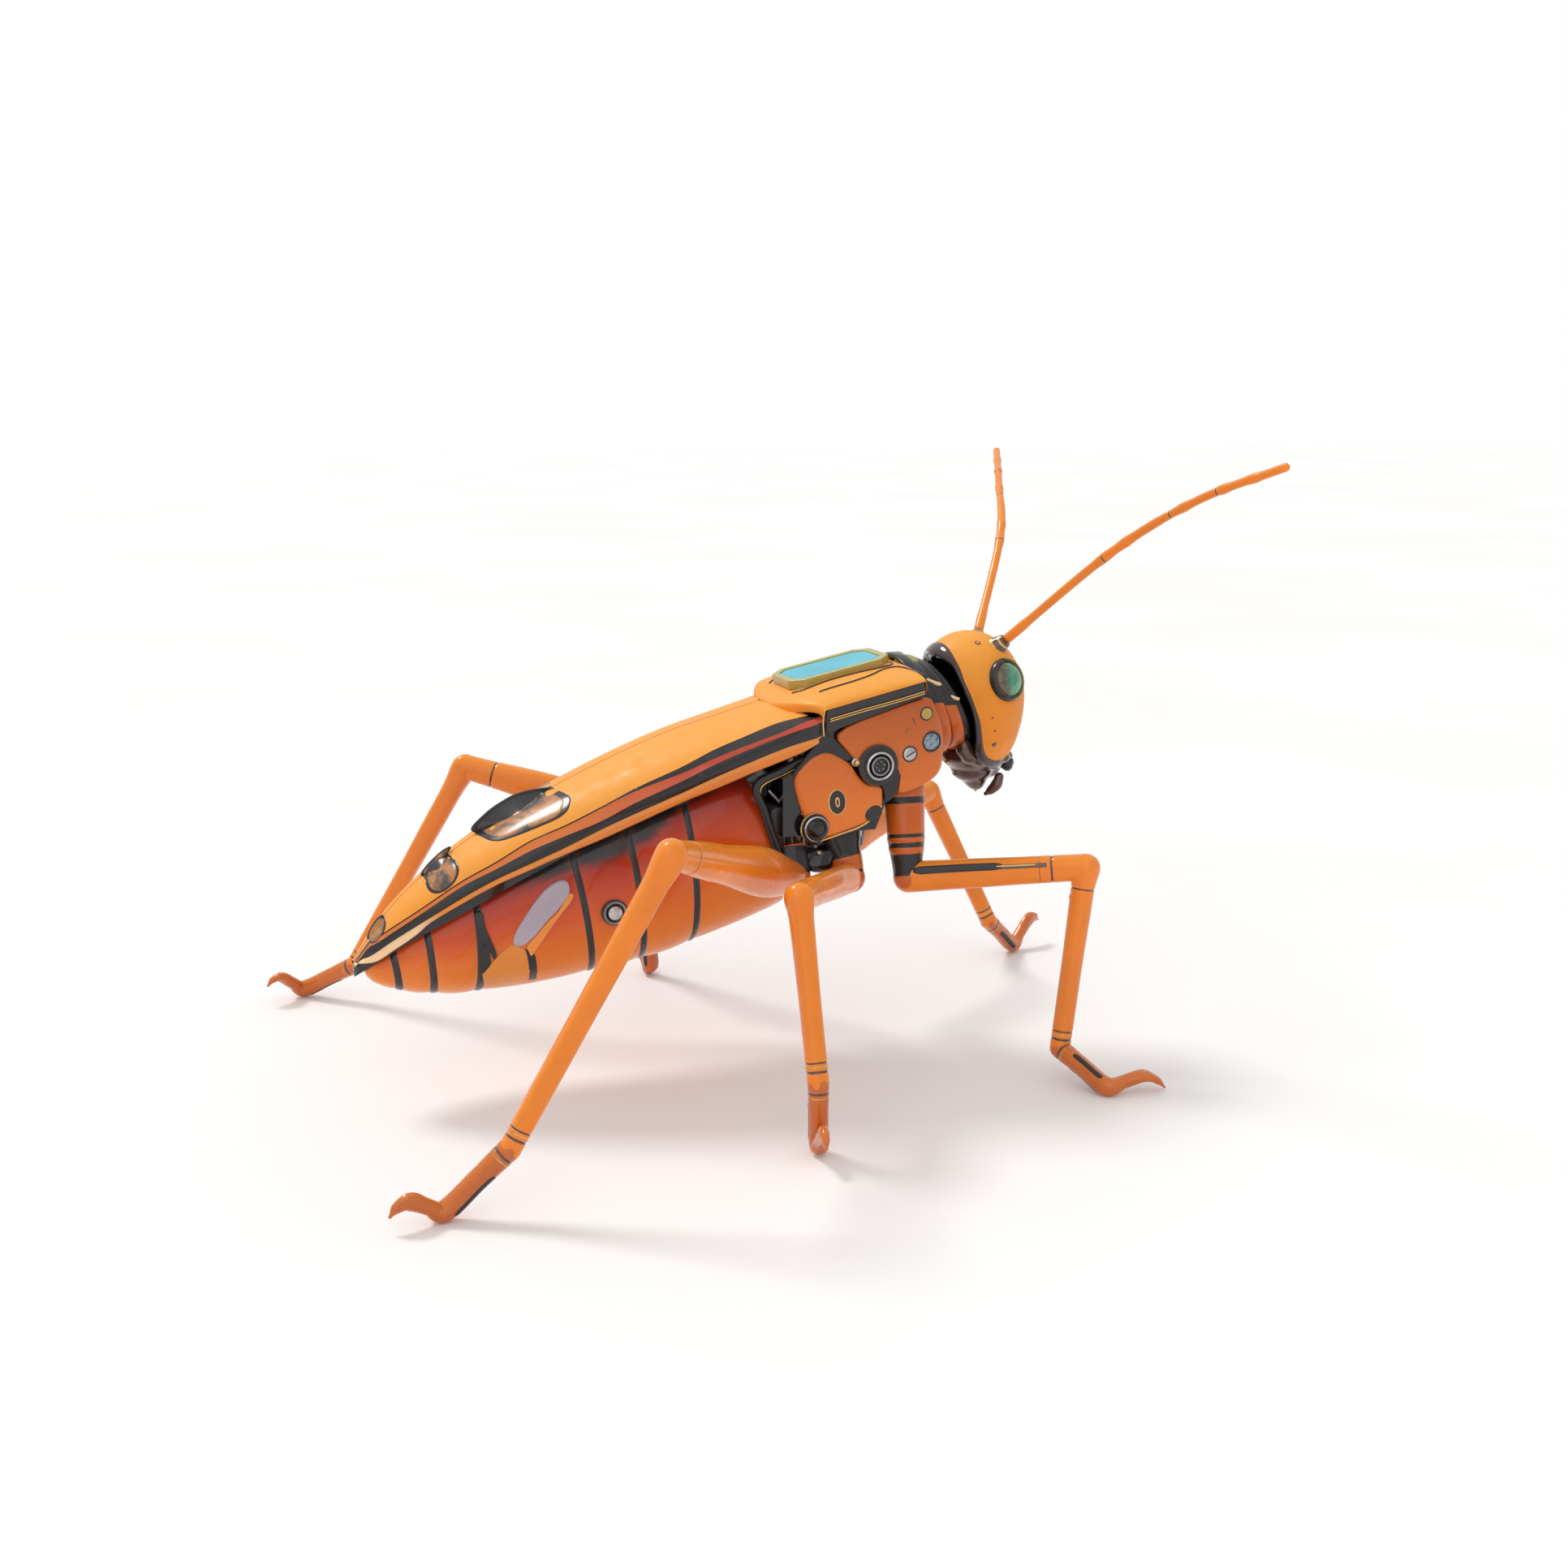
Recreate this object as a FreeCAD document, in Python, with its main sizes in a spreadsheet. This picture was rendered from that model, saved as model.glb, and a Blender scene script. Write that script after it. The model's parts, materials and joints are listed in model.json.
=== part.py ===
import FreeCAD, Part
import math
import os

import Sketcher
from FreeCAD import Placement, Rotation, Vector

# A posable solar robot grasshopper.  +X points to the head, +Y to its left side and +Z up.
# Everything is laid out about the body's plane of symmetry (y = 0) and the tip of each leg stands
# on z = 0; the last Placement of each piece then moves the lot so that the origin lies under the
# middle of the whole figure.

doc = FreeCAD.newDocument("solar_grasshopper")
sheet = doc.addObject("Spreadsheet::Sheet", "Sizes")

SIZES = [
    # alias, value in mm, meaning
    ("middle_x", 18.45, "from the body's datum to the middle of the figure"),
    ("middle_y", 3.5, "the same, sideways"),
    ("shell_wall", 1.8, "wall of the moulded covers"),
    ("seam_gap", 0.3, "gap between neighbouring covers"),
    ("hinge_gap", 0.3, "side gap between a tongue and its fork"),
    ("pin_clearance", 0.06, "radial clearance of a moulded pin"),
    ("hip_eye", 4.2, "outer radius of the hip knuckle"),
    ("hip_tongue", 3.0, "thickness of the hip tongue"),
    ("hip_cheek", 1.5, "thickness of each cheek of the hip fork"),
    ("hip_pin", 1.4, "radius of the hip pin"),
    ("knee_eye", 3.4, "outer radius of the knee knuckle"),
    ("knee_tongue", 2.2, "thickness of the knee tongue"),
    ("knee_cheek", 1.2, "thickness of each cheek of the knee fork"),
    ("knee_pin", 1.1, "radius of the knee pin"),
    ("ankle_eye", 2.6, "outer radius of the ankle knuckle"),
    ("ankle_tongue", 1.8, "thickness of the ankle tongue"),
    ("ankle_cheek", 0.9, "thickness of each cheek of the ankle fork"),
    ("ankle_pin", 0.8, "radius of the ankle pin"),
    ("feeler_eye", 1.9, "outer radius of the antenna knuckle"),
    ("feeler_tongue", 1.4, "thickness of the antenna tongue"),
    ("feeler_cheek", 0.8, "thickness of each cheek of the antenna fork"),
    ("feeler_pin", 0.6, "radius of the antenna pin"),
    ("tibia_radius", 2.9, "corner radius of the hexagonal tibia"),
    ("femur_tip_high", 2.5, "half height of a femur just before the knee"),
    ("femur_tip_wide", 2.4, "half width of a femur just before the knee"),
    ("swing_pin", 2.0, "radius of the coxa's swing pin"),
    ("swing_pin_long", 6.0, "length of the coxa's swing pin"),
    ("swing_disc", 5.2, "radius of the coxa's top disc"),
    ("swing_disc_high", 2.2, "height of the coxa's top disc"),
    ("swing_side", 16.0, "distance of the swing axes from the middle plane"),
    ("frame_half", 22.8, "half width of the thorax chassis"),
    ("panel_out", 25.0, "half width over the side panels"),
    ("panel_thick", 2.0, "thickness of the side panels"),
    ("cell_long", 27.0, "length of the solar cell"),
    ("cell_wide", 17.0, "width of the solar cell"),
    ("cell_thick", 1.0, "thickness of the solar cell"),
    ("bezel_rim", 2.2, "width of the bezel round the solar cell"),
    ("bezel_thick", 2.6, "thickness of the bezel"),
    ("washer_radius", 5.8, "outer radius of the side boss washer"),
    ("washer_thick", 1.4, "thickness of the side boss washer"),
    ("screw_head", 3.0, "radius of the boss screw's head"),
    ("screw_high", 1.8, "height of the boss screw's head"),
    ("screw_shank", 1.5, "radius of the boss screw's shank"),
    ("battery_radius", 5.25, "radius of the AAA cell"),
    ("battery_long", 44.5, "length of the AAA cell"),
    ("motor_radius", 6.0, "radius of the motor"),
    ("motor_long", 20.0, "length of the motor"),
    ("shaft_radius", 0.75, "radius of the motor's shaft"),
    ("weight_radius", 5.5, "radius of the eccentric weight"),
    ("weight_long", 3.0, "length of the eccentric weight"),
    ("board_long", 36.0, "length of the control board"),
    ("board_wide", 18.0, "width of the control board"),
    ("board_thick", 1.6, "thickness of the control board"),
    ("ring_thick", 1.6, "thickness of an abdomen gasket ring"),
    ("button_radius", 2.2, "radius of the power button"),
    ("bezel_ring", 3.4, "outer radius of the button's bezel"),
    ("antenna_radius", 1.5, "radius of the antenna rod"),
]
for row, (alias, value, meaning) in enumerate(SIZES, start=1):
    sheet.set(f"A{row}", str(value))
    sheet.setAlias(f"A{row}", alias)
    sheet.set(f"B{row}", meaning)
doc.recompute()
SIZE = {alias: float(value) for alias, value, _ in SIZES}

ORIGIN_SHIFT = Vector(-SIZE["middle_x"], -SIZE["middle_y"], 0)
FORWARD, LEFT, UP = Vector(1, 0, 0), Vector(0, 1, 0), Vector(0, 0, 1)
# A piece drawn along its own Z turned to lie along X, with its own X along Y.
ALONG_X = Rotation(Vector(1, 1, 1), 120)
nodes = {}


def finish(node, thing, place=None):
    """Name a piece after its node and put it in the shared frame."""
    thing.Label = node
    inner = place or thing.Placement
    thing.Placement = Placement(ORIGIN_SHIFT, Rotation()).multiply(inner)
    nodes[node] = thing
    return thing


def bind(thing, **cells):
    """Tie properties to cells of the sheet, given as property=expression."""
    for name, expression in cells.items():
        thing.setExpression(name, expression)
    return thing


def cell(words):
    """Write an expression with plain aliases: every alias gets the sheet's name in front."""
    out = []
    for word in words.split():
        out.append(f"Sizes.{word}" if word in SIZE else word)
    return " ".join(out)


def cylinder(name, radius, height, place):
    rod = doc.addObject("Part::Cylinder", name)
    bind(rod, Radius=cell(radius), Height=cell(height))
    rod.Placement = place
    return rod


def box(name, sizes, corner):
    block = doc.addObject("Part::Box", name)
    bind(block, Length=cell(sizes[0]), Width=cell(sizes[1]), Height=cell(sizes[2]))
    block.Placement = Placement(corner, Rotation())
    return block


def fuse(name, pieces):
    joined = doc.addObject("Part::MultiFuse", name)
    joined.Shapes = pieces
    return joined


def cut(name, base, tool):
    rest = doc.addObject("Part::Cut", name)
    rest.Base = base
    rest.Tool = tool
    return rest


def feature(name, shape):
    made = doc.addObject("Part::Feature", name)
    made.Shape = shape
    return made


def mirrored(name, source):
    other = doc.addObject("Part::Mirroring", name)
    other.Source = source
    other.Normal = LEFT
    other.Base = Vector(0, 0, 0)
    return other


def twins(stem, right):
    """The right-hand piece and its mirror image as two nodes, stem_right and stem_left."""
    copy = doc.addObject("Part::Compound", stem + "_right")
    copy.Links = [right]
    finish(stem + "_right", copy)
    finish(stem + "_left", mirrored(stem + "_left", right))


def pair(node, right):
    """The right-hand piece and its mirror image as two separate solids of one node."""
    both = doc.addObject("Part::Compound", node)
    both.Links = [right, mirrored(node + "_left", right)]
    return finish(node, both)


def aimed(point, direction):
    """A placement whose own Z lies along direction."""
    return Placement(point, Rotation(UP, direction))


def framed(point, along, axis):
    """A placement whose own X lies along a link and own Z along its hinge axis."""
    x_dir = Vector(along).normalize()
    z_dir = Vector(axis).normalize()
    y_dir = z_dir.cross(x_dir).normalize()
    return Placement(point, Rotation(x_dir, y_dir, z_dir, "XZY"))


def smooth(points):
    """A function that runs smoothly through a few (x, value) points (Catmull-Rom)."""
    def value(x):
        if x <= points[0][0]:
            return points[0][1]
        if x >= points[-1][0]:
            return points[-1][1]
        i = max(k for k in range(len(points) - 1) if points[k][0] <= x)
        (x0, y0), (x1, y1) = points[i], points[i + 1]
        before = points[max(i - 1, 0)]
        after = points[min(i + 2, len(points) - 1)]
        span = x1 - x0
        slope0 = (y1 - before[1]) / (x1 - before[0]) * span
        slope1 = (after[1] - y0) / (after[0] - x0) * span
        u = (x - x0) / span
        return ((2 * u**3 - 3 * u**2 + 1) * y0 + (u**3 - 2 * u**2 + u) * slope0
                + (3 * u**2 - 2 * u**3) * y1 + (u**3 - u**2) * slope1)
    return value


def spline(points, closed=False):
    curve = Part.BSplineCurve()
    curve.interpolate(Points=points, PeriodicFlag=closed)
    return curve.toShape()


def limb(points, radii):
    """A rounded rod through points: a ball at each point and a cone between each pair."""
    body = Part.makeSphere(radii[0], points[0])
    for (a, b), (ra, rb) in zip(zip(points, points[1:]), zip(radii, radii[1:])):
        step = b.sub(a)
        if abs(ra - rb) < 1e-6:
            cone = Part.makeCylinder(ra, step.Length, a, step)
        else:
            cone = Part.makeCone(ra, rb, step.Length, a, step)
        body = body.fuse(cone).fuse(Part.makeSphere(rb, b))
    return body.removeSplitter()


# --- hinges -----------------------------------------------------------------------------------

BRIDGE_SET = 0.8  # gap between a fork's bridge and the knuckle in it
BRIDGE_THICK = 2.0
STEM_DROP = 0.8  # how far a coxa's stem ends below its disc

def fork(name, kind):
    """Two cheeks about the pivot at the origin, hinge axis Z, with their bridge towards -X."""
    eye, tongue, cheek = SIZE[kind + "_eye"], SIZE[kind + "_tongue"], SIZE[kind + "_cheek"]
    inner = tongue / 2 + SIZE["hinge_gap"]
    reach = eye + BRIDGE_SET
    pieces = []
    for side in (-1, 1):
        low = inner if side > 0 else -inner - cheek
        pieces.append(cylinder(f"{name}_cheek{side + 1}", f"{kind}_eye", f"{kind}_cheek",
                               Placement(Vector(0, 0, low), Rotation())))
        pieces.append(box(f"{name}_arm{side + 1}", (f"{kind}_eye + 2", f"{kind}_eye * 1.1",
                                                    f"{kind}_cheek"),
                          Vector(-eye - 2, -0.55 * eye, low)))
    bridge = box(f"{name}_bridge", (str(BRIDGE_THICK), f"{kind}_eye * 1.1",
                                    f"{kind}_tongue + 2 * hinge_gap + 2 * {kind}_cheek"),
                 Vector(-reach - BRIDGE_THICK, -0.55 * eye, -inner - cheek))
    solid = fuse(name + "_solid", pieces + [bridge])
    hole = cylinder(name + "_hole", f"{kind}_pin + pin_clearance",
                    f"{kind}_tongue + 2 * hinge_gap + 2 * {kind}_cheek + 2",
                    Placement(Vector(0, 0, -inner - cheek - 1), Rotation()))
    return cut(name, solid, hole)


def tongue(name, kind):
    """An eye with moulded pins at the origin, hinge axis Z, and a neck towards +X."""
    eye, thick, cheek = SIZE[kind + "_eye"], SIZE[kind + "_tongue"], SIZE[kind + "_cheek"]
    half_pin = thick / 2 + SIZE["hinge_gap"] + cheek
    disc = cylinder(name + "_eye", f"{kind}_eye", f"{kind}_tongue",
                    Placement(Vector(0, 0, -thick / 2), Rotation()))
    pin = cylinder(name + "_pin", f"{kind}_pin",
                   f"{kind}_tongue + 2 * hinge_gap + 2 * {kind}_cheek",
                   Placement(Vector(0, 0, -half_pin), Rotation()))
    neck = box(name + "_neck", (f"{kind}_eye + 2", f"{kind}_eye * 1.1", f"{kind}_tongue"),
               Vector(0, -0.55 * eye, -thick / 2))
    return [disc, pin, neck]


# --- legs -------------------------------------------------------------------------------------
# Joint centres of the six legs at rest: hip, knee, ankle, sole (middle of the heel) and claw tip.

LEGS = {
    "front_right": [(58.6, -21.9, 54.8), (101.4, -48.6, 60.4), (93.6, -51.2, 8.4),
                    (98.8, -68.7, 2.7), (116.2, -70.7, 0.9)],
    "front_left": [(58.6, 21.9, 54.8), (98.9, 51.9, 61.8), (122.3, 51.3, 14.7),
                   (135.5, 58.7, 2.7), (150.1, 67.4, 7.9)],
    "middle_right": [(41.0, -21.0, 56.0), (8.5, -66.0, 65.4), (8.8, -79.0, 19.8),
                     (9.6, -77.6, 2.7), (6.6, -90.6, 7.0)],
    "middle_left": [(41.0, 21.0, 56.0), (8.5, 66.0, 65.4), (8.8, 79.0, 19.8),
                    (9.6, 77.6, 2.7), (6.6, 90.6, 7.0)],
    "hind_right": [(24.4, -20.6, 57.2), (-31.2, -86.4, 85.0), (-71.5, -85.5, 17.1),
                   (-86.9, -83.1, 2.7), (-99.9, -84.9, 4.1)],
    "hind_left": [(24.4, 20.6, 57.2), (-53.2, 59.3, 79.5), (-86.3, 84.5, 12.4),
                  (-101.6, 95.1, 2.7), (-113.2, 90.2, 6.5)],
}
# Top of the coxa, femur's greatest half height and half width, and where the femur is thickest.
BUILD = {
    "front": {"top": 78.6, "high": 4.6, "wide": 3.4, "belly": 0.3},
    "middle": {"top": 67.0, "high": 4.2, "wide": 3.4, "belly": 0.3},
    "hind": {"top": 66.6, "high": 7.0, "wide": 4.4, "belly": 0.25},
}
HEEL_RADIUS = 3.0


def leg_frames(leg):
    """Joint centres, link directions and hinge axes of one leg."""
    hip, knee, ankle, sole, tip = (Vector(*p) for p in LEGS[leg])
    femur, tibia, foot = knee.sub(hip), ankle.sub(knee), sole.sub(ankle)
    knee_axis = femur.cross(tibia).normalize()
    ankle_axis = tibia.cross(foot).normalize()
    return {"hip": hip, "knee": knee, "ankle": ankle, "sole": sole, "tip": tip, "femur": femur,
            "tibia": tibia, "foot": foot, "knee_axis": knee_axis, "ankle_axis": ankle_axis}


def coxa(leg):
    data, build = leg_frames(leg), BUILD[leg.split("_")[0]]
    side = -1 if "right" in leg else 1
    swing_x = data["hip"].x
    top = Vector(swing_x, side * SIZE["swing_side"], build["top"])
    disc_base = top.sub(Vector(0, 0, SIZE["swing_disc_high"]))
    name = "coxa_" + leg
    pin = cylinder(name + "_pin", "swing_pin", "swing_pin_long + 1",
                   Placement(top.sub(Vector(0, 0, 1)), Rotation()))
    disc = cylinder(name + "_disc", "swing_disc", "swing_disc_high",
                    Placement(disc_base, Rotation()))
    hinge = fork(name + "_fork", "hip")
    down = data["hip"].sub(disc_base)
    down = down.sub(Vector(data["knee_axis"]).multiply(down.dot(data["knee_axis"])))
    hinge.Placement = framed(data["hip"], down, data["knee_axis"])
    reach = SIZE["hip_eye"] + BRIDGE_SET + BRIDGE_THICK
    root = data["hip"].sub(Vector(down).normalize().multiply(reach))
    rise = disc_base.sub(Vector(0, 0, STEM_DROP)).sub(root)
    cone = doc.addObject("Part::Cone", name + "_cone")
    cone.Radius1, cone.Radius2, cone.Height = 2.6, 3.6, rise.Length
    cone.Placement = aimed(root, rise)
    # A slanting stem leaves the swept circle of the femur's knuckle free.
    room_start = Vector(0, 0, -SIZE["hip_tongue"] / 2 - SIZE["hinge_gap"])
    room = cylinder(name + "_room", "hip_eye + hinge_gap + 0.2", "hip_tongue + 2 * hinge_gap",
                    hinge.Placement.multiply(Placement(room_start, Rotation())))
    stem = cut(name + "_stem", cone, room)
    return finish(name, fuse(name, [pin, disc, stem, hinge]))


def femur(leg):
    data, build = leg_frames(leg), BUILD[leg.split("_")[0]]
    long = data["femur"].Length
    name = "femur_" + leg
    start = SIZE["hip_eye"] + 0.9
    end = long - SIZE["knee_eye"] - 0.8
    stations = [
        (start, 3.0, 2.6),
        (start + 0.12 * long, build["high"] * 0.92, build["wide"] * 0.95),
        (start + build["belly"] * long, build["high"], build["wide"]),
        (start + 0.62 * (end - start), 0.35 * build["high"] + 0.65 * 4.0, 3.1),
        (end, SIZE["femur_tip_high"], SIZE["femur_tip_wide"]),
    ]
    sections = []
    for i, (x, high, wide) in enumerate(stations):
        oval = doc.addObject("Part::Ellipse", f"{name}_section{i}")
        oval.MajorRadius, oval.MinorRadius = high, wide
        oval.Placement = Placement(Vector(x, 0, 0), ALONG_X)
        sections.append(oval)
    bind(sections[-1], MajorRadius="Sizes.femur_tip_high", MinorRadius="Sizes.femur_tip_wide")
    beam = doc.addObject("Part::Loft", name + "_beam")
    beam.Sections, beam.Solid, beam.Ruled = sections, True, False
    far = fork(name + "_fork", "knee")
    far.Placement = Placement(Vector(long, 0, 0), Rotation())
    link = fuse(name, tongue(name + "_tongue", "hip") + [beam, far])
    return finish(name, link, framed(data["hip"], data["femur"], data["knee_axis"]))


def tibia(leg):
    data = leg_frames(leg)
    long = data["tibia"].Length
    name = "tibia_" + leg
    start = SIZE["knee_eye"] + 0.9
    end = long - SIZE["ankle_eye"] - 0.8
    beam = doc.addObject("Part::Prism", name + "_beam")
    beam.Polygon = 6
    bind(beam, Circumradius="Sizes.tibia_radius")
    beam.Height = end - start
    beam.Placement = Placement(Vector(start, 0, 0), ALONG_X)
    frame = framed(data["knee"], data["tibia"], data["knee_axis"])
    # The ankle's axis is turned about the tibia so that the foot points its own way.
    local_axis = frame.Rotation.inverted().multVec(data["ankle_axis"])
    twist = math.degrees(math.atan2(-local_axis.y, local_axis.z))
    far = fork(name + "_fork", "ankle")
    far.Placement = Placement(Vector(long, 0, 0), Rotation(FORWARD, twist))
    link = fuse(name, tongue(name + "_tongue", "knee") + [beam, far])
    return finish(name, link, frame)


def foot(leg):
    data = leg_frames(leg)
    name = "foot_" + leg
    frame = framed(data["ankle"], data["foot"], data["ankle_axis"])
    inward = frame.inverse()
    heel, tip = data["sole"], data["tip"]
    step = tip.sub(heel)
    waist = heel.add(Vector(step).multiply(0.3)).add(Vector(0, 0, 1.6))
    arch = heel.add(Vector(step).multiply(0.62)).add(Vector(0, 0, 3.2))
    begin = data["ankle"].add(Vector(data["foot"]).normalize().multiply(SIZE["ankle_eye"] + 3.2))
    route = [inward.multVec(p) for p in (begin, heel, waist, arch, tip)]
    body = limb(route, [2.4, HEEL_RADIUS, 2.0, 2.3, 0.5])
    floor_plane = Part.makeBox(80, 80, 20, Vector(-40, -40, -20))
    floor_plane.Placement = inward.multiply(Placement(Vector(heel.x, heel.y, 0), Rotation()))
    claw = feature(name + "_claw", body.cut(floor_plane))
    link = fuse(name, tongue(name + "_tongue", "ankle") + [claw])
    return finish(name, link, frame)


for leg_name in LEGS:
    coxa(leg_name)
    femur(leg_name)
    tibia(leg_name)
    foot(leg_name)


# --- body profiles: heights and half widths along x -----------------------------------------------

wing_crest = smooth([(-96, 40), (-92, 45.8), (-86, 53.5), (-78, 61), (-66, 69.8), (-50, 79.2),
                     (-30, 88.6), (-8, 97.2), (10, 102.2), (21, 105)])
wing_edge = smooth([(-96, 38), (-92, 42.5), (-86, 47.5), (-78, 53), (-62, 61.8), (-40, 73.2),
                    (-17, 82.9), (6, 92.5), (30, 102)])
wing_lip = smooth([(-96, 36), (-92, 39.2), (-86, 43.6), (-78, 48.6), (-63, 57), (-51, 63.7),
                   (-27, 75.2), (1, 84.6), (30, 96.8)])
wing_half = smooth([(-96, 2.4), (-92, 5.4), (-86, 8.4), (-78, 11.4), (-66, 14.8), (-50, 18),
                    (-30, 20.5), (-8, 22), (10, 23), (30, 24)])
belly_low = smooth([(-90, 36), (-86, 32), (-78, 29.6), (-66, 28.6), (-50, 29.2), (-27, 31.5),
                    (-8, 34.9), (20, 43.5), (30, 47)])
belly_top = smooth([(-90, 40.5), (-86, 45), (-78, 52.5), (-66, 61.5), (-50, 71.5), (-30, 81),
                    (-8, 88), (8, 91), (30, 93)])
belly_half = smooth([(-90, 3), (-86, 6.4), (-78, 9.6), (-63, 13.2), (-45, 16), (-20, 18),
                     (0, 18.6), (30, 18.6)])
cover_crest = smooth([(21.5, 105.6), (26, 109), (30.2, 111.3), (36, 113.3), (42, 114.9),
                      (50, 116.3), (58, 116.5), (62.5, 115.6)])


def trim_top(x):
    return 105.2 + (x - 31) * 0.216


def trim_low(x):
    return 98.8 + (x - 31.4) * 0.296


WING_REAR, WING_FRONT = -96.0, 20.8
WING_GAP = 0.25
FRONT_SWEEP = 0.37
WING_STATIONS = [-96, -92, -86, -78, -66, -50, -30, -10, 8, WING_FRONT]


def sweep_at(x, rear, front):
    """Slope of a slanted section, growing from square across at rear to full at front."""
    return FRONT_SWEEP * max(0.0, (x - rear) / (front - rear)) ** 2


def dome(station, slope, half, top, edge, inset, gap):
    """Quarter of an oval from the crest down to the edge, on the right side of the body."""
    points = []
    steps = 6
    side_x = station + slope * half(station)
    wide = half(side_x) - inset
    for i in range(steps + 1):
        angle = math.pi / 2 * i / steps
        y = gap + (wide - gap) * math.sin(angle)
        x = station + slope * y
        low = edge(side_x)
        high = top(station) - inset
        points.append(Vector(x, -y, low + (high - low) * math.cos(angle)))
    return points


def half_shell(stations, slopes, half, top, edge, wall, gap):
    """Loft of crescent sections: the right half of a domed cover with an open underside."""
    wires = []
    for station, slope in zip(stations, slopes):
        thin = min(wall, 0.4 * half(station))
        outer = dome(station, slope, half, top, edge, 0, gap)
        inner = dome(station, slope, half, top, edge, thin, gap)
        wires.append(Part.Wire([spline(outer), Part.makeLine(outer[-1], inner[-1]),
                                spline(inner[::-1]), Part.makeLine(inner[0], outer[0])]))
    return Part.makeLoft(wires, True, False)


def wing_rail():
    """The right-hand rail: an upright strip under the edge of the wing cover."""
    wires = []
    for station in WING_STATIONS:
        slope = sweep_at(station, -30, WING_FRONT)
        x = station + slope * wing_half(station)
        wide = wing_half(x)
        thin = min(2.2, 0.45 * wide)
        high, low = wing_edge(x) - 0.25, wing_lip(x)
        x_in = station + slope * (wide - thin)
        corners = [Vector(x, -wide, high), Vector(x_in, -wide + thin, high),
                   Vector(x_in, -wide + thin, low + 0.6), Vector(x, -wide, low)]
        wires.append(Part.makePolygon(corners + corners[:1]))
    return Part.makeLoft(wires, True, False)


WING_PIVOT = Vector(27.5, -19.0, 95.2)
wing_slopes = [sweep_at(x, -30, WING_FRONT) for x in WING_STATIONS]
wing_right = feature("wing_cover_right_shape", half_shell(
    WING_STATIONS, wing_slopes, wing_half, wing_crest, wing_edge, SIZE["shell_wall"], WING_GAP))
twins("wing_cover", wing_right)

rail_ear = Part.makeCylinder(2.6, 2.0, WING_PIVOT.add(Vector(0, 0, 0.4)))
rail_arm = Part.makeBox(5.2, 4.5, 2.0, WING_PIVOT.add(Vector(-3.6, -4.2, 0.4)))
rail_hole = Part.makeCylinder(1.0 + SIZE["pin_clearance"], 6, WING_PIVOT.sub(Vector(0, 0, 1)))
rail_right = feature("wing_rail_right_shape", wing_rail().fuse([rail_ear, rail_arm]).cut(rail_hole))
twins("wing_rail", rail_right)


# --- thorax -----------------------------------------------------------------------------------

def sketch_polygon(body, role, points):
    """A closed outline on one of the body's own origin planes."""
    plane = next(f for f in body.Origin.OriginFeatures if f.Role == role)
    outline = body.newObject("Sketcher::SketchObject", body.Name + "_outline")
    outline.AttachmentSupport = [(plane, "")]
    outline.MapMode = "FlatFace"
    count = len(points)
    for i in range(count):
        a, b = points[i], points[(i + 1) % count]
        outline.addGeometry(Part.LineSegment(Vector(a[0], a[1], 0), Vector(b[0], b[1], 0)), False)
    for i in range(count):
        outline.addConstraint(Sketcher.Constraint("Coincident", i, 2, (i + 1) % count, 1))
    return outline


def plate(name, outline_points, thickness, offset):
    """A flat plate drawn as (x, z) points, padded sideways from offset away from the middle."""
    body = doc.addObject("PartDesign::Body", name)
    outline = sketch_polygon(body, "XZ_Plane", outline_points)
    pad = body.newObject("PartDesign::Pad", name + "_pad")
    pad.Profile = outline
    bind(pad, Length=cell(thickness))
    body.Tip = pad
    doc.recompute()
    low = body.Shape.BoundBox.YMin
    body.Placement = Placement(Vector(0, offset - low, 0), Rotation())
    return body


FRAME_OUTLINE = [(20, 70), (48, 70), (52, 80), (64, 82.5), (64, 104), (58, 106), (33, 99.5),
                 (30, 91), (20, 86.5)]
chassis = plate("chassis", FRAME_OUTLINE, "2 * frame_half", -SIZE["frame_half"])
cavity = box("chassis_cavity", ("28", "34", "15"), Vector(33, -17, 86))
socket_posts = []
socket_holes = []
for leg_name, points in LEGS.items():
    hip_x = points[0][0]
    side = -1 if "right" in leg_name else 1
    top = BUILD[leg_name.split("_")[0]]["top"] + SIZE["seam_gap"]
    spot = Vector(hip_x, side * SIZE["swing_side"], top)
    post = cylinder("socket_post_" + leg_name, "swing_disc", "8", Placement(spot, Rotation()))
    hole = cylinder("socket_hole_" + leg_name, "swing_pin + pin_clearance", "swing_pin_long + 0.4",
                    Placement(spot.sub(Vector(0, 0, 0.2)), Rotation()))
    socket_posts.append(post)
    socket_holes.append(hole)
wing_lugs = []
for side in (-1, 1):
    spot = Vector(WING_PIVOT.x, side * abs(WING_PIVOT.y), 92.6)
    wing_lugs.append(cylinder(f"wing_lug_{side + 1}", "2.4", "2.6", Placement(spot, Rotation())))
    wing_lugs.append(cylinder(f"wing_pin_{side + 1}", "1", "5.6", Placement(spot, Rotation())))
    wing_lugs.append(box(f"wing_arm_{side + 1}", ("6", "4", "2.6"), spot.sub(Vector(0, 2, 0))))
BOSS = Vector(47.4, 0, 89.1)
boss_holes = []
for side in (-1, 1):
    start = Vector(BOSS.x, side * (SIZE["frame_half"] - 3.5), BOSS.z)
    boss_holes.append(cylinder(f"boss_hole_{side + 1}", "screw_shank + 0.1", "5",
                               aimed(start, Vector(0, side, 0))))
frame_solid = fuse("thorax_frame_solid", [chassis] + socket_posts + wing_lugs)
frame_tools = fuse("thorax_frame_tools", [cavity] + socket_holes + boss_holes)
finish("thorax_frame", cut("thorax_frame", frame_solid, frame_tools))

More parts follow.
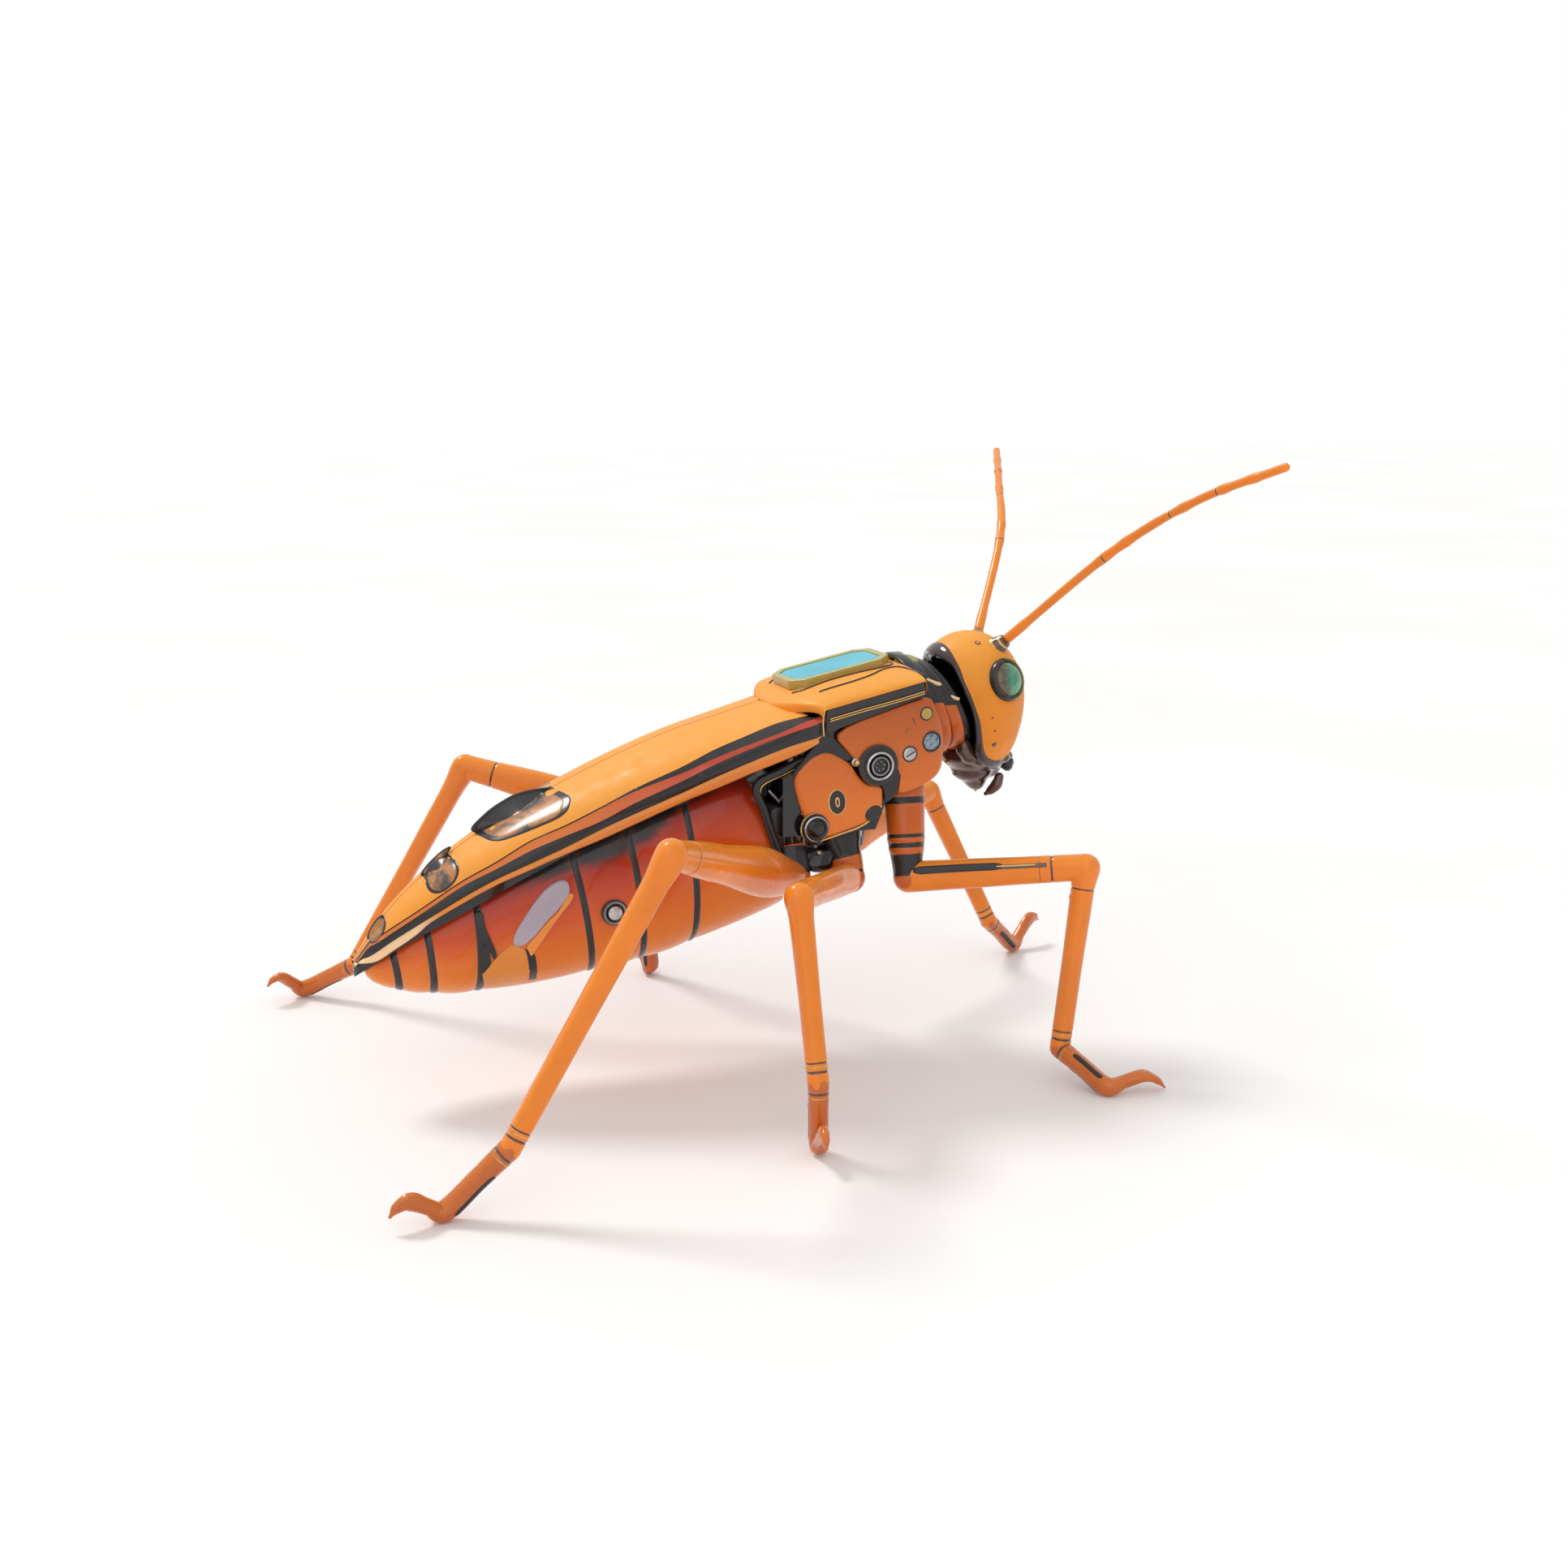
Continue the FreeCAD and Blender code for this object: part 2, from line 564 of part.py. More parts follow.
# The pronotum cover is a domed roof whose rear edge runs back to a point over the wing covers.
COVER_STATIONS = [21.6, 26, 31, 37, 44, 52, 58, 62.5]
COVER_SLOPES = [0.41, 0.40, 0.33, 0.24, 0.14, 0.06, 0.02, 0.0]


def cover_half(x):
    return SIZE["panel_out"]


cover_right = half_shell(COVER_STATIONS, COVER_SLOPES, cover_half, cover_crest,
                         lambda x: trim_top(x) + 0.1, SIZE["shell_wall"], 0.0)
cover = cover_right.fuse(cover_right.mirror(Vector(0, 0, 0), LEFT)).removeSplitter()
CELL_TILT = 11.5
cell_place = Placement(Vector(43.0, 0, 113.4), Rotation(LEFT, -CELL_TILT))
bezel_long = SIZE["cell_long"] + 2 * SIZE["bezel_rim"]
bezel_wide = SIZE["cell_wide"] + 2 * SIZE["bezel_rim"]


def chamfered(length, width, corner, height, low):
    """A flat slab, middle at the origin, with its four corners cut off."""
    a, b = length / 2, width / 2
    ring = [(a, b - corner), (a - corner, b), (corner - a, b), (-a, b - corner),
            (-a, corner - b), (corner - a, -b), (a - corner, -b), (a, corner - b)]
    points = [Vector(x, y, low) for x, y in ring + ring[:1]]
    return Part.Face(Part.makePolygon(points)).extrude(Vector(0, 0, height))


seat = chamfered(bezel_long + 0.2, bezel_wide + 0.2, 4.1, 12, -SIZE["bezel_thick"] + 0.9)
seat.Placement = cell_place
finish("pronotum_cover", feature("pronotum_cover", cover.cut(seat)))
bezel = chamfered(bezel_long, bezel_wide, 4.0, SIZE["bezel_thick"], -SIZE["bezel_thick"] + 1.0)
recess = chamfered(SIZE["cell_long"] + 0.1, SIZE["cell_wide"] + 0.1, 2.6, 3, 0)
finish("solar_bezel", feature("solar_bezel", bezel.cut(recess)), cell_place)
solar = chamfered(SIZE["cell_long"], SIZE["cell_wide"], 2.6, SIZE["cell_thick"] - 0.3, 0)
finish("solar_panel", feature("solar_panel", solar), cell_place)

TRIM_OUTLINE = [(32.0, trim_low(32.0)), (61.8, trim_low(61.8)), (61.6, trim_top(61.6)),
                (32.0, trim_top(32.0))]
right_trim = plate("right_trim", TRIM_OUTLINE, "panel_thick + 0.2", -SIZE["panel_out"] - 0.2)
pair("trim_bands", right_trim)

FRONT_PANEL = [(33.6, 99.1), (61.6, 107.4), (64.5, 106.6), (68.8, 97), (68.4, 87.2),
               (65.8, 83.8), (53, 79.3), (50.3, 79.4), (40.4, 91.2)]
REAR_PANEL = [(32.4, 94), (39.4, 90), (46.4, 83.5), (49.3, 78.8), (48.5, 74.4), (42.4, 72),
              (30.1, 68.6), (24.1, 77.5), (22.6, 86.8), (27.6, 92.2)]
front_plate = plate("right_front_plate", FRONT_PANEL, "panel_thick", -SIZE["panel_out"])
shank_hole = cylinder("right_shank_hole", "screw_shank + 0.1", "6",
                      aimed(Vector(BOSS.x, -SIZE["panel_out"] + 4, BOSS.z), Vector(0, -1, 0)))
pair("side_panels_front", cut("right_front_panel", front_plate, shank_hole))
rear_plate = plate("right_rear_plate", REAR_PANEL, "panel_thick", -SIZE["panel_out"])
HUB = Vector(29.0, 0, 72.5)
hub_notch = cylinder("right_hub_notch", "3.9", "6",
                     aimed(Vector(HUB.x, -SIZE["panel_out"] + 4, HUB.z), Vector(0, -1, 0)))
pair("side_panels_rear", cut("right_rear_panel", rear_plate, hub_notch))


def outward(name, x, z, start, radius, height):
    """A cylinder on the right side of the body, standing outward from a distance start."""
    return cylinder(name, radius, height, aimed(Vector(x, -start, z), Vector(0, -1, 0)))


seat_face = SIZE["panel_out"] + 0.02
washer = outward("right_washer", BOSS.x, BOSS.z, seat_face, "washer_radius", "washer_thick")
washer_bore = outward("right_washer_bore", BOSS.x, BOSS.z, seat_face - 1, "screw_shank + 0.1", "4")
pair("side_bosses", cut("right_boss", washer, washer_bore))
head_face = seat_face + SIZE["washer_thick"] + 0.02
screw_head = outward("right_screw_head", BOSS.x, BOSS.z, head_face, "screw_head", "screw_high")
shank = outward("right_shank", BOSS.x, BOSS.z, head_face - 5.5, "screw_shank", "5.6")
socket = doc.addObject("Part::Prism", "right_hex_socket")
socket.Polygon, socket.Circumradius, socket.Height = 6, 1.7, 2
socket.Placement = aimed(Vector(BOSS.x, -head_face - 0.7, BOSS.z), Vector(0, -1, 0))
pair("boss_screws", cut("right_screw", fuse("right_screw_solid", [screw_head, shank]), socket))
pair("side_lenses", outward("right_lens", 63.8, 94.7, seat_face, "2.6", "1"))
small_screws = fuse("right_small_screws", [
    outward("right_screw_low", 57.1, 91.6, seat_face, "2.1", "0.8"),
    outward("right_screw_high", 62.1, 102.8, seat_face, "1.9", "0.8")])
pair("side_screws", small_screws)
pair("hub_drums", outward("right_hub", HUB.x, HUB.z, SIZE["frame_half"] + 0.02, "3.4", "2.8"))


# --- abdomen ----------------------------------------------------------------------------------

def oval(x, inset):
    """An oval section square across the body, drawn in by inset."""
    low, high, half = belly_low(x) + inset, belly_top(x) - inset, belly_half(x) - inset
    middle, tall = (low + high) / 2, (high - low) / 2
    points = []
    for i in range(16):
        angle = 2 * math.pi * i / 16
        points.append(Vector(x, half * math.cos(angle), middle + tall * math.sin(angle)))
    return Part.Wire([spline(points, True)])


def slab(x, lean, thickness):
    """A wide slab across the body at x (at z = 50), its top leaning back by lean per mm."""
    block = Part.makeBox(thickness, 80, 160, Vector(-thickness / 2, -40, -80))
    block.rotate(Vector(0, 0, 0), LEFT, -math.degrees(math.atan(lean)))
    block.translate(Vector(x, 0, 50))
    return block


BELLY_STATIONS = [-90, -86, -78, -66, -50, -30, -8, 10, 28]
outer_belly = Part.makeLoft([oval(x, 0) for x in BELLY_STATIONS], True, False)
inner_belly = Part.makeLoft([oval(x, SIZE["shell_wall"]) for x in BELLY_STATIONS[1:]], True, False)
FRONT_LEAN = 0.325
front_x = 13.2 + (84.5 - 50) * FRONT_LEAN
front_cut = slab(front_x + 30, FRONT_LEAN, 60)
bulkhead_slab = slab(front_x - 1.0, FRONT_LEAN, 2.0)
solid_belly = outer_belly.cut(front_cut)
RING_PLACES = [-86, -76.5, -63.5, -50, -35, -20, -3.5]
ring_slabs = [slab(x, 0.1, SIZE["ring_thick"]) for x in RING_PLACES]
window_box = Part.makeBox(5.6, 30, 20, Vector(-2.8, -34, -10))
window_box.rotate(Vector(0, 0, 0), LEFT, 39)
window_box.translate(Vector(-48.4, 0, 53.4))
window_boxes = [window_box, window_box.mirror(Vector(0, 0, 0), LEFT)]
BUTTON = Vector(-27.4, -17.0, 51.8)
button_hole = Part.makeCylinder(SIZE["bezel_ring"], 8, BUTTON.add(Vector(0, 4.5, 0)),
                                Vector(0, -1, 0))
skin = solid_belly.cut(inner_belly).cut(bulkhead_slab)
windows = skin.common(window_boxes[0]).fuse(skin.common(window_boxes[1]))
skin = skin.cut(window_boxes).cut(button_hole)
gaskets = Part.makeCompound([skin.common(ring) for ring in ring_slabs])
finish("abdomen_shell", feature("abdomen_shell", skin.cut(ring_slabs)))
finish("abdomen_gaskets", feature("abdomen_gaskets", gaskets))
finish("abdomen_windows", feature("abdomen_windows", windows))
bulkhead = solid_belly.common(bulkhead_slab)
spine = Part.makeBox(12, 20, 26, Vector(7.9, -10, 57))
spine = spine.common(slab(front_x - 1.0 + 10, FRONT_LEAN, 20))
finish("abdomen_bulkhead", feature("abdomen_bulkhead", bulkhead.fuse(spine)))
bezel_tube = outward("bezel_tube", BUTTON.x, BUTTON.z, 13.4, "bezel_ring", "5")
bezel_bore = outward("bezel_bore", BUTTON.x, BUTTON.z, 12, "button_radius + pin_clearance", "9")
finish("button_bezel", cut("button_bezel", bezel_tube, bezel_bore))
finish("power_button", outward("power_button", BUTTON.x, BUTTON.z, 14.6, "button_radius", "4.4"))

finish("battery", cylinder("battery", "battery_radius", "battery_long",
                           Placement(Vector(-62, 0, 50), ALONG_X)))
board = doc.addObject("PartDesign::Body", "control_board")
board_sketch = sketch_polygon(board, "XY_Plane", [
    (-28, -SIZE["board_wide"] / 2), (-28 + SIZE["board_long"], -SIZE["board_wide"] / 2),
    (-28 + SIZE["board_long"], SIZE["board_wide"] / 2), (-28, SIZE["board_wide"] / 2)])
board_pad = board.newObject("PartDesign::Pad", "board_pad")
board_pad.Profile = board_sketch
bind(board_pad, Length="Sizes.board_thick")
board.Tip = board_pad
finish("control_board", board, Placement(Vector(0, 0, 66), Rotation()))

MOTOR = Vector(35, 0, 93.2)
can = cylinder("motor_can", "motor_radius", "motor_long", Placement(MOTOR, ALONG_X))
motor_bore = cylinder("motor_bore", "shaft_radius + pin_clearance", "4",
                      Placement(MOTOR.add(Vector(SIZE["motor_long"] - 3.5, 0, 0)), ALONG_X))
finish("drive_motor", cut("drive_motor", can, motor_bore))
weight_at = MOTOR.add(Vector(SIZE["motor_long"] + 0.8, 0, 0))
weight_disc = cylinder("weight_disc", "weight_radius", "weight_long", Placement(weight_at, ALONG_X))
weight_disc.Angle = 200
shaft = cylinder("weight_shaft", "shaft_radius", "weight_long + 3.8",
                 Placement(weight_at.sub(Vector(3.8, 0, 0)), ALONG_X))
finish("eccentric_weight", fuse("eccentric_weight", [weight_disc, shaft]))


# --- neck and head ------------------------------------------------------------------------------

NECK = Vector(74, 0, 101)
LUG_LOW, LUG_THICK = 3.9, 1.6
neck_rings = [cylinder(f"neck_ring_{i}", str(radius), str(thick),
                       Placement(Vector(x, 0, NECK.z), ALONG_X))
              for i, (x, radius, thick) in enumerate([(64.02, 14.0, 0.9), (64.9, 12.8, 0.6),
                                                      (65.5, 12.4, 0.9), (66.4, 10.2, 0.8),
                                                      (67.2, 7.2, 0.8)])]
neck_lugs = []
for side in (-1, 1):
    low = NECK.z + (LUG_LOW if side > 0 else -LUG_LOW - LUG_THICK)
    neck_lugs.append(box(f"neck_lug_{side + 1}", ("9", "8", "1.6"), Vector(66, -4, low)))
    neck_lugs.append(cylinder(f"neck_eye_{side + 1}", "4", "1.6",
                              Placement(Vector(NECK.x, 0, low), Rotation())))
neck_bore = cylinder("neck_bore", "1.5 + pin_clearance", "24",
                     Placement(NECK.sub(Vector(0, 0, 12)), Rotation()))
finish("neck_post", cut("neck_post", fuse("neck_post_solid", neck_rings + neck_lugs), neck_bore))

collar_block = cylinder("collar_block", "4", "7.2",
                        Placement(NECK.sub(Vector(0, 0, 3.6)), Rotation()))
collar_turn_pin = cylinder("collar_turn_pin", "1.5", "10.8",
                           Placement(NECK.sub(Vector(0, 0, 5.4)), Rotation()))
collar_nod_pin = cylinder("collar_nod_pin", "1.5", "19.6",
                          aimed(NECK.sub(Vector(0, 9.8, 0)), LEFT))
collar_barrel = cylinder("collar_barrel", "3", "15.2", aimed(NECK.sub(Vector(0, 7.6, 0)), LEFT))
finish("neck_collar", fuse("neck_collar", [collar_block, collar_turn_pin, collar_nod_pin,
                                           collar_barrel]))

HEAD = Vector(88, 0, 101)


def egg(name, inset):
    """A head-shaped egg: a short upper half and a taller lower half."""
    halves = []
    for part, tall, low, high in (("top", 21.2, 0, 90), ("low", 27.0, -90, 0)):
        shape = doc.addObject("Part::Ellipsoid", f"{name}_{part}")
        shape.Radius1, shape.Radius2, shape.Radius3 = tall - inset, 18.4 - inset, 17.0 - inset
        shape.Angle1, shape.Angle2 = low, high
        shape.Placement = Placement(HEAD, Rotation())
        halves.append(shape)
    return fuse(name, halves)


EYE = Vector(93.0, -15.0, 109.2)
EYE_OUT = Vector(0.26, -0.91, 0.32)
FEELER_ROOT = Vector(95.4, -9.9, 121.0)
FEELER = [Vector(95.4, -9.9, 121.0), Vector(114.4, -34.3, 147.2), Vector(125.7, -58.4, 162.5),
          Vector(136.5, -81.8, 172.0)]
feeler_run = FEELER[1].sub(FEELER[0])
feeler_axis = feeler_run.cross(UP).cross(feeler_run).cross(feeler_run).normalize()
feeler_frame = framed(FEELER_ROOT, feeler_run, feeler_axis)

shell_hollow = egg("head_inner", SIZE["shell_wall"])
rear_cut = box("head_rear_cut", ("60", "60", "80"), Vector(-60, -30, -40))
rear_cut.Placement = Placement(Vector(76.5, 0, 101.2), Rotation(LEFT, -33.7)).multiply(
    Placement(Vector(-60, -30, -40), Rotation()))
jaw_cut = box("head_jaw_cut", ("60", "60", "30"), Vector(60, -30, 52))
eye_beds = [cylinder(f"eye_bed_{side + 1}", "6.2", "6",
                     aimed(Vector(EYE.x, -side * EYE.y, EYE.z).sub(
                         Vector(EYE_OUT.x, -side * EYE_OUT.y, EYE_OUT.z).multiply(3.0)),
                         Vector(EYE_OUT.x, -side * EYE_OUT.y, EYE_OUT.z)))
            for side in (-1, 1)]
hollow_head = cut("head_hollow", egg("head_outer", 0),
                  fuse("head_tools", [shell_hollow, rear_cut, jaw_cut] + eye_beds))
feeler_right = fork("feeler_fork", "feeler")
feeler_right.Placement = feeler_frame
feeler_stalk = doc.addObject("Part::Cone", "feeler_stalk")
feeler_stalk.Radius1, feeler_stalk.Radius2, feeler_stalk.Height = 3.4, 1.8, 4.0
stalk_top = FEELER_ROOT.sub(Vector(feeler_run).normalize().multiply(3.2))
feeler_stalk.Placement = aimed(stalk_top.sub(Vector(0.33, -0.42, 0.84).multiply(3.4)),
                               Vector(0.33, -0.42, 0.84))
sockets = fuse("feeler_socket", [feeler_right, feeler_stalk])
cheek_plates = [box("nod_cheek_right", ("17", "1.8", "6"), Vector(74, -9.8, 98)),
                cylinder("nod_eye_right", "3", "1.8",
                         aimed(Vector(NECK.x, -8.0, NECK.z), Vector(0, -1, 0))),
                box("nod_brace_right", ("6", "9", "4"), Vector(85, -16.2, 98))]
nod_cheek = fuse("nod_cheek", cheek_plates)
nod_bore = cylinder("nod_bore", "1.5 + pin_clearance", "30", aimed(NECK.sub(Vector(0, 15, 0)), LEFT))
head_solid = fuse("head_solid", [hollow_head, sockets, mirrored("feeler_socket_left", sockets),
                                 nod_cheek, mirrored("nod_cheek_left", nod_cheek)])
finish("head_shell", cut("head_shell", head_solid, nod_bore))

eye_back = EYE.sub(Vector(EYE_OUT).multiply(2.2))
rim_tube = cylinder("eye_rim_tube", "6", "3.4", aimed(eye_back, EYE_OUT))
rim_bore = cylinder("eye_rim_bore", "5.1", "8", aimed(eye_back.sub(EYE_OUT), EYE_OUT))
pair("eye_rims", cut("right_eye_rim", rim_tube, rim_bore))
lens_ball = doc.addObject("Part::Sphere", "right_eye_ball")
lens_ball.Radius = 7.0
lens_ball.Placement = Placement(EYE.sub(Vector(EYE_OUT).multiply(4.4)), Rotation())
lens_rod = cylinder("eye_lens_rod", "5", "8", aimed(EYE.sub(Vector(EYE_OUT).multiply(2.0)), EYE_OUT))
lens = doc.addObject("Part::MultiCommon", "right_eye_lens")
lens.Shapes = [lens_ball, lens_rod]
pair("eye_lenses", lens)

MOUTH = Vector(91.5, 0, 81.9)
mouth_egg = doc.addObject("Part::Ellipsoid", "mouth_egg")
mouth_egg.Radius1, mouth_egg.Radius2, mouth_egg.Radius3 = 8.0, 8.8, 9.0
mouth_egg.Angle1, mouth_egg.Angle2 = -90, 0
mouth_egg.Placement = Placement(MOUTH, Rotation())
mouth_stem = cylinder("mouth_stem", "5.5", "8", Placement(MOUTH, Rotation()))
mouth_brace = box("mouth_brace", ("6", "20.4", "2.5"), Vector(88.5, -10.2, 85.5))
JAW = Vector(96.5, -5.0, 74.7)
jaw_bores = [cylinder(f"jaw_bore_{side + 1}", "0.7 + pin_clearance", "6",
                      Placement(Vector(JAW.x, -side * JAW.y, JAW.z), Rotation()))
             for side in (-1, 1)]
finish("mouth_block", cut("mouth_block", fuse("mouth_solid", [mouth_egg, mouth_stem, mouth_brace]),
                          fuse("jaw_bores", jaw_bores)))
jaw_shape = limb([JAW, JAW.add(Vector(1.8, 1.2, -1.0)), JAW.add(Vector(1.6, 3.4, -1.9))],
                 [1.5, 1.2, 0.6]).fuse(Part.makeCylinder(0.7, 5.0, JAW))
right_jaw = feature("right_jaw", jaw_shape)
twins("mandible", right_jaw)

feeler_in = feeler_frame.inverse()
feeler_start = FEELER[0].add(Vector(feeler_run).normalize().multiply(SIZE["feeler_eye"] + 2.4))
feeler_route = [feeler_in.multVec(p) for p in [feeler_start] + FEELER[1:]]
rod_shape = limb(feeler_route, [SIZE["antenna_radius"]] * 4)
rod = feature("feeler_rod", rod_shape)
right_feeler = fuse("right_feeler", tongue("feeler_tongue", "feeler") + [rod])
right_feeler.Placement = feeler_frame
twins("antenna", right_feeler)


# --- check and write --------------------------------------------------------------------------

def main():
    doc.recompute()
    failed = [o.Name for o in doc.Objects if {"Invalid", "Error"} & set(o.State)]
    if failed:
        raise RuntimeError(f"these objects failed: {failed}")
    for node, thing in nodes.items():
        if thing.Shape.isNull() or not thing.Shape.isValid() or not thing.Shape.Solids:
            raise RuntimeError(f"{node} has no valid solid")
    os.makedirs("parts", exist_ok=True)
    for node, thing in nodes.items():
        thing.Shape.exportStep(f"parts/{node}.step")
    whole = FreeCAD.BoundBox()
    for thing in nodes.values():
        whole.add(thing.Shape.BoundBox)
    print(len(nodes), "nodes; box", whole)


main()
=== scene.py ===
import json
import math

import bmesh
import bpy
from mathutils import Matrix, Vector


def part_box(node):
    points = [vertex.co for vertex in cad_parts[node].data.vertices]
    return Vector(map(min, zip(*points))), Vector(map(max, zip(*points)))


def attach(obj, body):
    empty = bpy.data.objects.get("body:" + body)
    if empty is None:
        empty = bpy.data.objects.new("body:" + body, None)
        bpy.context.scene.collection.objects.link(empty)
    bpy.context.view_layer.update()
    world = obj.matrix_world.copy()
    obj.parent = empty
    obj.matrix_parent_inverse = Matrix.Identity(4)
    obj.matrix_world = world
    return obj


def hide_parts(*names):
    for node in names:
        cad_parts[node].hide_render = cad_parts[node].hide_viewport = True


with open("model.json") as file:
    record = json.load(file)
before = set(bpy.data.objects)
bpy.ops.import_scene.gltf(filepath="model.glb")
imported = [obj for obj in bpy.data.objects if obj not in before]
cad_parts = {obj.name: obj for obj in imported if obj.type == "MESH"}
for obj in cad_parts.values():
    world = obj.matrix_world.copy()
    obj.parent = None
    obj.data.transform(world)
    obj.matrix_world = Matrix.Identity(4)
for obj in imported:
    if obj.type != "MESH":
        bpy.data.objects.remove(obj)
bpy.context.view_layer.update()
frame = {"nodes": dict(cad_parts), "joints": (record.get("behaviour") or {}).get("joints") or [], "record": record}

# All shapes below are drawn in millimetres about the robot's own datum, which lies in its middle
# plane on the floor, and at() carries them into the shared frame.  Shapes are written for the
# right side (negative y); SIDES mirrors them to the left.
MM = 0.001
JOINTS = {joint["name"]: joint for joint in frame["joints"]}
NECK = Vector((74, 0, 101))
DATUM = Vector(JOINTS["neck_turn"]["pos_m"]) - NECK * MM
SIDES = {"right": 1, "left": -1}
LEGS = [f"{kind}_{side}" for kind in ("front", "middle", "hind") for side in SIDES]


def at(point, side=1):
    return DATUM + Vector((point[0], point[1] * side, point[2])) * MM


def joint_at(name):
    """A joint's place in the robot's own millimetres."""
    return (Vector(JOINTS[name]["pos_m"]) - DATUM) / MM


def right_joint_at(name):
    """A joint's place, or its mirror image, on the robot's right side."""
    place = joint_at(name)
    return Vector((place.x, -abs(place.y), place.z))


def smooth(points):
    """A function that runs smoothly through a few (x, value) points (Catmull-Rom)."""
    def value(x):
        if x <= points[0][0]:
            return points[0][1]
        if x >= points[-1][0]:
            return points[-1][1]
        i = max(k for k in range(len(points) - 1) if points[k][0] <= x)
        (x0, y0), (x1, y1) = points[i], points[i + 1]
        before, after = points[max(i - 1, 0)], points[min(i + 2, len(points) - 1)]
        span = x1 - x0
        slope0 = (y1 - before[1]) / (x1 - before[0]) * span
        slope1 = (after[1] - y0) / (after[0] - x0) * span
        u = (x - x0) / span
        return ((2 * u**3 - 3 * u**2 + 1) * y0 + (u**3 - 2 * u**2 + u) * slope0
                + (3 * u**2 - 2 * u**3) * y1 + (u**3 - u**2) * slope1)
    return value


def mix(a, b, share):
    return a + (b - a) * share


def ease(x, low, high):
    """0 below low, 1 above high and a smooth step between."""
    u = min(1.0, max(0.0, (x - low) / (high - low)))
    return u * u * (3 - 2 * u)


# --- materials ------------------------------------------------------------------------------------

class Nodes:
    """A small helper that adds shader nodes and links them."""

    def __init__(self, name):
        self.material = bpy.data.materials.new(name)
        self.material.use_nodes = True
        self.tree = self.material.node_tree
        self.shader = self.tree.nodes["Principled BSDF"]

    def add(self, kind, inputs=None, **settings):
        node = self.tree.nodes.new(kind)
        for key, value in settings.items():
            setattr(node, key, value)
        for key, value in (inputs or {}).items():
            self.feed(node.inputs[key], value)
        return node

    def feed(self, socket, value):
        if isinstance(value, bpy.types.NodeSocket):
            self.tree.links.new(value, socket)
        else:
            socket.default_value = value

    def position(self):
        return self.add("ShaderNodeTexCoord").outputs["Object"]

    def noise(self, scale, detail=3.0, twist=0.0):
        return self.add("ShaderNodeTexNoise", {
            "Vector": self.position(), "Scale": scale, "Detail": detail,
            "Distortion": twist}).outputs["Fac"]

    def wave(self, scale, direction, phase=0.0):
        return self.add("ShaderNodeTexWave", {
            "Vector": self.position(), "Scale": scale, "Phase Offset": phase},
            wave_type="BANDS", bands_direction=direction).outputs["Fac"]

    def span(self, value, low, high, to_low=0.0, to_high=1.0):
        return self.add("ShaderNodeMapRange", {"Value": value, "From Min": low, "From Max": high,
                                               "To Min": to_low, "To Max": to_high}).outputs[0]

    def blend(self, share, first, second, kind="MIX"):
        node = self.add("ShaderNodeMix", data_type="RGBA", blend_type=kind)
        self.feed(node.inputs[0], share)
        self.feed(node.inputs[6], first)
        self.feed(node.inputs[7], second)
        return node.outputs[2]

    def ramp(self, value, stops):
        node = self.add("ShaderNodeValToRGB", {"Fac": value})
        elements = node.color_ramp.elements
        while len(elements) < len(stops):
            elements.new(0.5)
        for element, (place, colour) in zip(elements, stops):
            element.position = place
            element.color = opaque(colour)
        return node.outputs[0]

    def painted_top_light(self):
        """Mask of the painted highlight: 0 on walls and undersides, 1 where the surface faces up."""
        normal = self.add("ShaderNodeNewGeometry").outputs["Normal"]
        height = self.add("ShaderNodeSeparateXYZ", {"Vector": normal}).outputs["Z"]
        return self.span(height, 0.05, 0.95)

    def edges(self):
        """1 along sharp outer edges, where gloss wears off first."""
        worn = self.add("ShaderNodeNewGeometry").outputs["Pointiness"]
        return self.span(worn, 0.52, 0.62)

    def along(self, axis, start, end, wobble=None):
        """0 at start and 1 at end, both in millimetres along the axis."""
        place = self.add("ShaderNodeSeparateXYZ", {"Vector": self.position()}).outputs[axis]
        if wobble:
            place = self.plus(place, wobble)
        low, high = (getattr(at((x, 0, x)), axis.lower()) for x in (start, end))
        return self.span(place, low, high)

    def plus(self, first, second, operation="ADD"):
        return self.add("ShaderNodeMath", {0: first, 1: second}, operation=operation).outputs[0]

    def finish(self, tone, rough, bump=None, **sockets):
        """Colour, roughness as (fac, low, high), bump as (strength, depth, height) and the rest."""
        self.feed(self.shader.inputs["Base Color"], tone)
        fac, low, high = rough
        self.feed(self.shader.inputs["Roughness"], self.span(fac, 0.3, 0.7, low, high))
        if bump:
            strength, depth, height = bump
            relief = self.add("ShaderNodeBump", {"Strength": strength, "Distance": depth,
                                                 "Height": height})
            self.feed(self.shader.inputs["Normal"], relief.outputs[0])
        for key, value in sockets.items():
            self.shader.inputs[key.replace("_", " ")].default_value = value
        return self.material


def opaque(colour):
    return (*colour, 1.0)


def darker(colour, share):
    return tuple(channel * share for channel in colour)


def paler(colour, share, more=0.0):
    return tuple(min(1.0, channel * share + more) for channel in colour)


